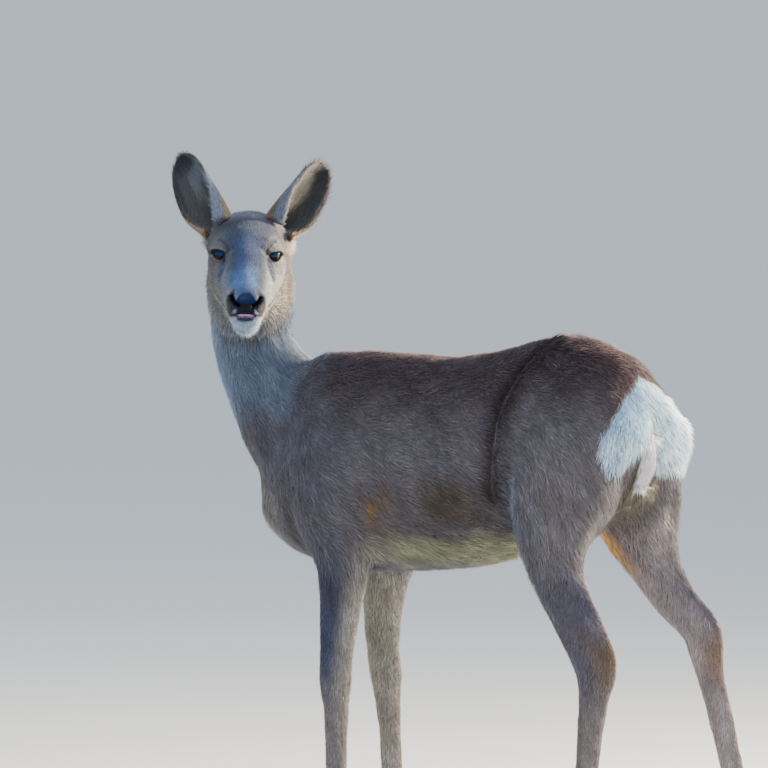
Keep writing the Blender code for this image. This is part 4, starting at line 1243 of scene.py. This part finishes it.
def make_eye(word, side):
    """The ball: radius plus a cosine bulge over the iris; colours by the angle from the middle."""
    down, turn = polar_surface(*EYE_GRID)
    degrees = np.degrees(down)
    bulge = EYE_BULGE * np.cos(np.clip(degrees / (EYE_IRIS + 3.0), 0, 1) * np.pi / 2) ** 2
    mesh = eye_surface("eye_" + word, side, down, turn, EYE_RADIUS + bulge, ring_faces(*EYE_GRID))
    add_tint(mesh, eye_colour(degrees.ravel(), turn.ravel()))
    close_poles(mesh)
    finish_piece("eyeball_" + word, mesh, EYE_GLAZE, "eye", "eye_" + word)


def naked_skin(name, colour, roughness):
    """Bare dark skin or horn with a fine grain: 0.7 to 1.4 of the colour."""
    material, tree, shader = new_material(name, Roughness=roughness)
    grain = add_noise(tree, Scale=1500.0)
    tone = tree.nodes.new("ShaderNodeMix")
    tone.data_type = "RGBA"
    tone.inputs["A"].default_value = (*[0.7 * c for c in colour], 1.0)
    tone.inputs["B"].default_value = (*[1.4 * c for c in colour], 1.0)
    tree.links.new(grain.outputs["Fac"], tone.inputs["Factor"])
    tree.links.new(tone.outputs["Result"], shader.inputs["Base Color"])
    add_bump(tree, shader, grain, 0.3, 0.0003)
    return material


LID_SKIN = naked_skin("lid_skin", (0.016, 0.011, 0.010), 0.42)
LID_GRID = (120, 10)            # steps round the opening, and round the roll


def make_lid_edge(word, side):
    """The dark rim of the lids: a small rounded roll carried round the eye's opening."""
    turn, roll = np.meshgrid(*[np.linspace(0, 2 * np.pi, steps, endpoint=False)
                               for steps in LID_GRID], indexing="ij")
    reach = np.radians(lid_reach(turn) * (1.01 + 0.035 * np.cos(roll)))
    radius = EYE_RADIUS + 0.0006 + 0.0007 * np.sin(roll)
    mesh = eye_surface("lid_edge_" + word, side, reach, turn, radius,
                       ring_faces(*LID_GRID, closed=True))
    close_poles(mesh)
    finish_piece("lid_edge_" + word, mesh, LID_SKIN, "nose_skin")


LASH_ROWS = (46, 40)            # lashes in the front row and in the row behind it
LASH_TONE = 0.008


def make_lashes(word, side):
    """Dark lashes along the upper lid, longest at the rear corner, in two rows."""
    count = sum(LASH_ROWS)
    turn = np.concatenate([np.linspace(-0.05, 0.95, LASH_ROWS[0]),
                           np.linspace(-0.02, 0.90, LASH_ROWS[1])]) * np.pi
    row = np.repeat([0.0, 1.0], LASH_ROWS)
    dice = np.random.default_rng(71)
    _, rear, top = eye_axes(side)
    heading = eye_direction(side, np.radians(lid_reach(turn) * (1.03 + 0.03 * row)), turn)
    roots = EYE_AT * [1, side, 1] + heading * (EYE_RADIUS + 0.0012)
    way = heading + rear * (0.9 * np.cos(turn))[:, None] - top * (0.35 + 0.2 * row)[:, None]
    way = unit(way + dice.normal(0, 0.08, way.shape))
    backward = 0.5 + 0.5 * np.cos(turn)
    size = np.column_stack([0.0032 + 0.0050 * backward, np.full(count, 0.00042), np.zeros(count)])
    spots = np.column_stack([np.linspace(0.02, 0.98, count), 0.2 + 0.5 * row])
    hair_piece("fur_lashes_" + word, "coat", from_head(roots),
               unit(np.cross(way, top)) @ HEAD_AXES, way @ HEAD_AXES, size,
               np.full((count, 3), LASH_TONE), spots)


for word, side in (("left", 1), ("right", -1)):
    make_eye(word, side)
    make_lid_edge(word, side)
    make_lashes(word, side)

# ================================================================ the ears
# Leaf-shaped cups of thin gristle, rolled in at the root, brown outside with a blackish
# rim and tip, and lined with long pale hair that springs from the inner edge.
EAR_ROOT = np.array([0.026, 0.036, 0.019])
EAR_LENGTH = 0.118
EAR_WIDTH = 0.061
EAR_WALL = 0.0022
EAR_SUNK = 0.0008               # how far the cup lies under its outer hair
EAR_LEAN = {"left": (-0.73, 0.489, 0.476), "right": (-0.74, 0.42, 0.53)}
EAR_FACES_TO = np.array([0.93, 0.30, 0.0])
EAR_GRID = (64, 48)             # rows from root to tip, and columns from edge to edge
EAR_BROWN, EAR_DARK = np.array([0.300, 0.205, 0.105]), np.array([0.016, 0.014, 0.018])
EAR_PALE, EAR_DUSKY = np.array([0.160, 0.175, 0.195]), np.array([0.055, 0.046, 0.038])
EAR_FLEECE = np.array([0.165, 0.185, 0.215])
EAR_LOCKS = {"inside": (0.0130, 0.0010, 0.0032), "outside": (0.0070, 0.0010, 0.0014)}
EAR_HAIRS = 9.0e5               # locks to a square metre
SKIN_TONE = 0.8                 # the skin's colour as a share of its hair's


def ear_lattice():
    """Shares of the way from root to tip and, from -1 to 1, from edge to edge."""
    return np.meshgrid(np.linspace(0.02, 0.985, EAR_GRID[0]), np.linspace(-1, 1, EAR_GRID[1]),
                       indexing="ij")


def ear_grid(side, lean, t, c, inward):
    """A place on the ear: t runs from root to tip, c from edge to edge, inward goes in.

    Half its width is a leaf curve of t, wrapped on an arc that closes towards the root."""
    axis = unit(np.array(lean) * [1, side, 1])
    faces_to = EAR_FACES_TO * [1, side, 1]
    front = unit(faces_to - axis * (faces_to @ axis))
    across = np.cross(axis, front)
    leaf = np.where(t < 0.55, np.sin(np.pi * np.minimum(0.5, 0.24 + 0.55 * t)), 1.0)
    leaf = leaf * np.sqrt(np.maximum(0.0, 1 - np.maximum(0.0, (t - 0.50) / 0.50) ** 2.3))
    half = EAR_WIDTH / 2 * np.maximum(leaf, 0.04)
    wrap = np.radians(62 + 92 * (1 - t) ** 2.2)
    radius = half / np.sin(np.minimum(wrap, np.pi / 2))
    turn = wrap * c
    out = across * np.sin(turn)[..., None] - front * np.cos(turn)[..., None]
    centre = (EAR_ROOT * [1, side, 1] + axis * (EAR_LENGTH * t)[..., None]
              + front * (radius * np.cos(wrap * 0.6))[..., None])
    return centre + out * (radius - inward)[..., None]


def make_ear(word, side):
    """The gristle cup: outer and inner leaf surfaces joined round the rim."""
    rows, columns = EAR_GRID
    t, c = ear_lattice()
    outer = ear_grid(side, EAR_LEAN[word], t, c, np.full_like(t, EAR_SUNK))
    inner = ear_grid(side, EAR_LEAN[word], t, c * 0.97, EAR_SUNK + EAR_WALL * (1.3 - 0.8 * t))
    points = np.concatenate([outer.reshape(-1, 3), inner.reshape(-1, 3)])
    number = np.arange(rows * columns).reshape(rows, columns)
    a = number[:-1, :-1].ravel()
    skin = np.stack([a, a + 1, a + columns + 1, a + columns], axis=-1)
    lining = skin[:, ::-1] + rows * columns
    rim = np.concatenate([number[0], number[1:, -1], number[-1, -2::-1], number[-2:0:-1, 0]])
    following = np.roll(rim, -1)
    edge = np.stack([following, rim, rim + rows * columns, following + rows * columns], axis=-1)
    faces = np.concatenate([skin, lining, edge])
    mesh = plain_mesh("ear_" + word, from_head(points) - SHIFT, faces)
    close_poles(mesh)
    return mesh


def ear_colour(t, c, inside, side):
    """Brown back, blackish rim and tip; pale lining with a dusky middle and outer part. The left
    ear is darker all over, and its lining darker again towards the tip: painted shade.
    """
    medial = -c * side
    brown, pale, fleece = EAR_BROWN, EAR_PALE, EAR_FLEECE
    # painted shade: the left ear's colours are darker than the right's
    if side > 0:
        brown, pale, fleece = brown * [0.4, 0.35, 0.4], pale * 0.4, fleece * 0.7
    outside = brown + (EAR_DARK - brown) * ramp(0.86, 0.98, t)[:, None]
    outside = mixed(outside, fleece, ramp(0.68, 0.80, medial) * ramp(0.78, 0.58, t))
    shade = np.maximum(ramp(0.30, -0.20, medial), hump(0.42, 0.30, t) * hump(0.20, 0.45, medial))
    shade *= 1 - 0.55 * hump(0.60, 0.30, t) * hump(-0.15, 0.30, medial)
    lining = pale + (EAR_DUSKY - pale) * shade[:, None]
    # painted shade: the left ear's lining darker towards the tip
    if side > 0:
        lining *= 1.0 - 0.70 * ramp(0.30, 0.50, t)[:, None]
    rim = np.maximum(ramp(0.70, 0.90, -medial) * ramp(0.20, 0.55, t), ramp(0.70, 0.84, t))
    rim = np.maximum(rim, 0.8 * ramp(0.80, 0.92, medial) * ramp(0.50, 0.66, t))
    return mixed(np.where(inside[:, None], lining, outside), EAR_DARK, rim)


EAR_SKIN = hide_material()


def under_hair(name, mesh, colours, slot, node):
    """Finishes the dull skin that an ear's or the tuft's hair grows on."""
    add_tint(mesh, colours)
    add_tint(mesh, np.zeros((len(mesh.vertices), 3)), "gloss")
    finish_piece(name, mesh, EAR_SKIN, slot, node)


def grow_ear_hair(word, side, mesh, t, c, inside):
    """Short hair outside, and long hair inside that fans out from the inner edge."""
    roots, normals, chosen, weights = scatter(
        mesh, lambda places: np.full(len(places), EAR_HAIRS), 61)
    share = weights[:, :, 0]
    t, c = (t[chosen] * share).sum(1), (c[chosen] * share).sum(1)
    inside = inside[chosen].mean(axis=1) > 0.5
    dice = np.random.default_rng(62)
    axis = unit(np.array(EAR_LEAN[word]) * [1, side, 1]) @ HEAD_AXES
    front = (EAR_FACES_TO * [1, side, 1]) @ HEAD_AXES
    lie = np.tile(axis, (len(roots), 1)) + dice.normal(0, 0.12, (len(roots), 3))
    lie += unit(np.cross(axis, front)) * (0.35 * c * side * inside)[:, None]
    size = np.where(inside[:, None], EAR_LOCKS["inside"], EAR_LOCKS["outside"])
    size = size * dice.uniform([0.7, 0.8, 0.4], [1.2, 1.2, 1.3], (len(roots), 3))
    size[:, 0] *= np.where(inside, 1.0, 1.0 - 0.4 * ramp(0.8, 1.0, t))
    colours = ear_colour(t, c, inside, side)
    colours = colours * np.exp(dice.normal(0, 0.22, len(roots)))[:, None]
    spots = np.column_stack([(c * 0.5 + 0.5) * 0.46 + 0.5 * inside, t]) * 0.98 + 0.005
    hair_piece("fur_ear_" + word, "ear_coat", roots + SHIFT, normals, along_skin(lie, normals),
               size, colours, spots)


def dress_ear(word, side):
    """The cup in its colours, put in place, and its hair."""
    mesh = make_ear(word, side)
    count = len(mesh.vertices)
    t, c = [np.tile(values.ravel(), 2)[:count] for values in ear_lattice()]
    inside = np.arange(count) >= EAR_GRID[0] * EAR_GRID[1]
    colours = ear_colour(t, c, inside, side) * SKIN_TONE
    under_hair("ear_cup_" + word, mesh, colours, "ear_coat", "ear_" + word)
    grow_ear_hair(word, side, mesh, t, c, inside)


for word, side in (("left", 1), ("right", -1)):
    dress_ear(word, side)

# ================================================================ the tail tuft
# A doe's tuft of long pale hair that hangs in the hollow below the tail: a slim core with
# hair laid straight down it.
TUFT_SUNK = 0.0030              # depth of the tuft's hair over its core
TUFT_SHIFT = np.array([0.012, -0.002, 0.012])   # how far it hangs into the hollow
TUFT_HAIR = np.array([0.700, 0.700, 0.800])
TUFT_LOCK = np.array([0.0190, 0.0009, 0.0034])
TUFT_HAIRS = 6.5e5              # locks to a square metre


def make_tail_tuft():
    """Core and hair of the tuft, grown on the solid's own surface drawn in."""
    mesh = welded_solids(["tail_tuft"])
    places, normals = read_mesh(mesh)
    move_mesh(mesh, places - normals * TUFT_SUNK + TUFT_SHIFT)
    under_hair("tail_core", mesh, np.tile(TUFT_HAIR * SKIN_TONE, (len(places), 1)), "coat",
               "tail_tuft")

    roots, normals, _, _ = scatter(mesh, lambda places: np.full(len(places), TUFT_HAIRS), 81)
    dice = np.random.default_rng(82)
    count = len(roots)
    lie = np.array([0.0, 0.10, -1.0]) + dice.normal(0, 0.07, (count, 3))
    size = TUFT_LOCK * dice.uniform(0.7, 1.15, (count, 3))
    colours = TUFT_HAIR * np.exp(dice.normal(0, 0.20, count))[:, None]
    spots = unroll(roots, roots.mean(axis=0), (0, 0, 1), (0, 1, 0))
    hair_piece("fur_tail_tuft", "coat", roots + SHIFT, normals, along_skin(lie, normals), size,
               colours, spots)


make_tail_tuft()

# ================================================================ the feet
# Each foot stands on two hooves of dark horn, flat below, steep and pointed in front and
# low at the heel, with faint growth rings. Above and behind hang two small dewclaws.
HOOF_LEVELS = [0.0, 0.12, 0.6, 1.0]     # share of the height, with the two rows below
HOOF_SIZE = [0.97, 1.0, 0.93, 0.84]
HOOF_LEAN = [0.0, 0.002, 0.009, 0.015]
HOOF_HEEL = 0.60                        # height of the heel as a share of the toe's
HOOF_TOE = (0.5, 0.7)                   # width left at the toe, and how bluntly it ends
HOOF_SHARE = 0.985                      # the solid's length as a share of the horn's
HOOF_RINGS = (0.006, 60)                # depth of the growth rings, and how close they lie
DEWCLAW_SUNK = 0.0022                   # how far it is bedded in the hair of the pastern
DEWCLAW_TAPER = 0.30
DEWCLAW_GRID = (20, 28)
HORN = naked_skin("hoof_horn", (0.030, 0.024, 0.020), 0.45)


def make_hoof(name):
    """Rings round the hoof from the sole up; each is an oval drawn to a point in front."""
    low, high = solid_box(name)
    middle, (width, length, height) = (low + high) / 2, high - low
    level = np.concatenate([[0.0, 0.0, 0.0, 0.03], np.linspace(0.09, 1.0, 22), [1.0, 1.0]])
    fill = np.concatenate([[0.0, 0.5, 0.97], np.ones(23), [0.6, 0.0]])[:, None]
    angle = np.linspace(0, 2 * np.pi, 48, endpoint=False)
    level, angle = np.meshgrid(level, angle, indexing="ij")
    rings = 1 + HOOF_RINGS[0] * np.sin(level * HOOF_RINGS[1])
    size = np.interp(level, HOOF_LEVELS, HOOF_SIZE) * rings * fill
    fore = -np.cos(angle)
    taper = HOOF_TOE[0] + (1 - HOOF_TOE[0]) * np.clip(1 - fore, 0, 1) ** HOOF_TOE[1]
    across = np.sin(angle) * width / 2 * size * np.where(fore > 0, taper, 1.0)
    lean = np.interp(level, HOOF_LEVELS, HOOF_LEAN) * (fore + 1) / 2
    along = -fore * (length / HOOF_SHARE) / 2 * size + lean
    tall = height * (HOOF_HEEL + (1 - HOOF_HEEL) * (fore * fill + 1) / 2)
    points = np.stack([middle[0] + across, middle[1] + along, low[2] + tall * level], axis=-1)
    finish_horn(name, points, level.shape)


def make_dewclaw(name):
    """A small egg of horn, narrowing to a blunt point below."""
    low, high = solid_box(name)
    down, turn = polar_surface(*DEWCLAW_GRID)
    narrow = 1 - DEWCLAW_TAPER * (1 - np.cos(down)) / 2
    half = (high - low) / 2
    points = np.stack([np.sin(down) * np.cos(turn) * narrow * half[0],
                       np.sin(down) * np.sin(turn) * narrow * half[1],
                       np.cos(down) * half[2]], axis=-1) + (low + high) / 2
    finish_horn(name, points + [0.0, -DEWCLAW_SUNK, 0.0], DEWCLAW_GRID)


def finish_horn(node, points, grid):
    """A closed surface of horn from a grid of points, in the solid's place."""
    mesh = plain_mesh(node, points.reshape(-1, 3), ring_faces(*grid))
    close_poles(mesh)
    finish_piece("horn_" + node, mesh, HORN, "horn", node)


for end in ("fore", "hind"):
    for word in ("left", "right"):
        for place in ("inner", "outer"):
            make_hoof("hoof_" + end + "_" + word + "_" + place)
            make_dewclaw("dewclaw_" + end + "_" + word + "_" + place)

# ================================================================ floor, light and camera
# A plain pale floor, broad soft light from above and in front, a low warm light from
# behind on the right, and a long lens level with the deer's flank.
from mathutils import Matrix, Vector

VIEW_TURN = 128.0               # degrees round from straight ahead
VIEW_RISE = 2.5                 # degrees above level
VIEW_WIDTH = 0.9846             # metres across the frame at the deer
VIEW_CENTRE = (-0.110, 0.6487)  # right and up of the body's origin
VIEW_DISTANCE = 24.0
SENSOR = 36.0                   # millimetres
LIGHT_AIM = (0, 0, 0.5)         # the middle of the deer
FLOOR_HALF = 90.0
FLOOR_TONE = (0.74, 0.75, 0.74, 1.0)
SKY_TONE = (0.80, 0.90, 1.03, 1.0)


def way_from(turn, rise):
    """Direction outwards, at degrees round from straight ahead and above level."""
    turn, rise = np.radians([turn, rise])
    return np.array([np.sin(turn) * np.cos(rise), -np.cos(turn) * np.cos(rise), np.sin(rise)])


def place_camera():
    """A long lens at the given turn, rise and distance."""
    back = way_from(VIEW_TURN, VIEW_RISE)
    turn = np.radians(VIEW_TURN)
    right = np.array([np.cos(turn), np.sin(turn), 0.0])
    up = np.cross(back, right)
    middle = right * VIEW_CENTRE[0] + up * VIEW_CENTRE[1] - SHIFT
    lens = bpy.data.cameras.new("camera")
    camera = bpy.data.objects.new("camera", lens)
    bpy.context.scene.collection.objects.link(camera)
    rows = np.eye(4)
    rows[:3] = np.column_stack([right, up, back, middle + back * VIEW_DISTANCE])
    camera.matrix_world = Matrix(rows.tolist())
    lens.sensor_width = SENSOR
    lens.lens = SENSOR * VIEW_DISTANCE / VIEW_WIDTH
    lens.clip_end = 500.0
    bpy.context.scene.camera = camera


def add_light(name, turn, rise, distance, size, power, colour):
    """A square soft light aimed at the middle of the deer."""
    light = bpy.data.lights.new(name, "AREA")
    light.size = size
    light.energy = power
    light.color = colour
    thing = bpy.data.objects.new(name, light)
    way = Vector(way_from(turn, rise))
    thing.location = way * distance + Vector(LIGHT_AIM)
    thing.rotation_euler = way.to_track_quat("Z", "Y").to_euler()
    bpy.context.scene.collection.objects.link(thing)


def add_floor():
    """A broad pale floor under the soles, with a world of the same tone round it."""
    corners = np.array([(-1, -1, 0), (1, -1, 0), (1, 1, 0), (-1, 1, 0)]) * FLOOR_HALF
    mesh = plain_mesh("floor", corners, np.array([(0, 1, 2, 3)]))
    material, _, _ = new_material("floor", Base_Color=FLOOR_TONE, Roughness=0.9)
    mesh.materials.append(material)
    floor = bpy.data.objects.new("floor", mesh)
    bpy.context.scene.collection.objects.link(floor)
    world = bpy.data.worlds.new("soft_room")
    world.use_nodes = True
    sky = world.node_tree.nodes["Background"]
    sky.inputs["Color"].default_value = SKY_TONE
    sky.inputs["Strength"].default_value = 0.95
    bpy.context.scene.world = world


place_camera()
add_light("key", 112.0, 55.0, 4.0, 3.0, 175.0, (0.72, 0.88, 1.14))
add_light("rim", 236.0, 15.0, 4.0, 0.6, 1200.0, (1.0, 0.84, 0.62))
add_floor()
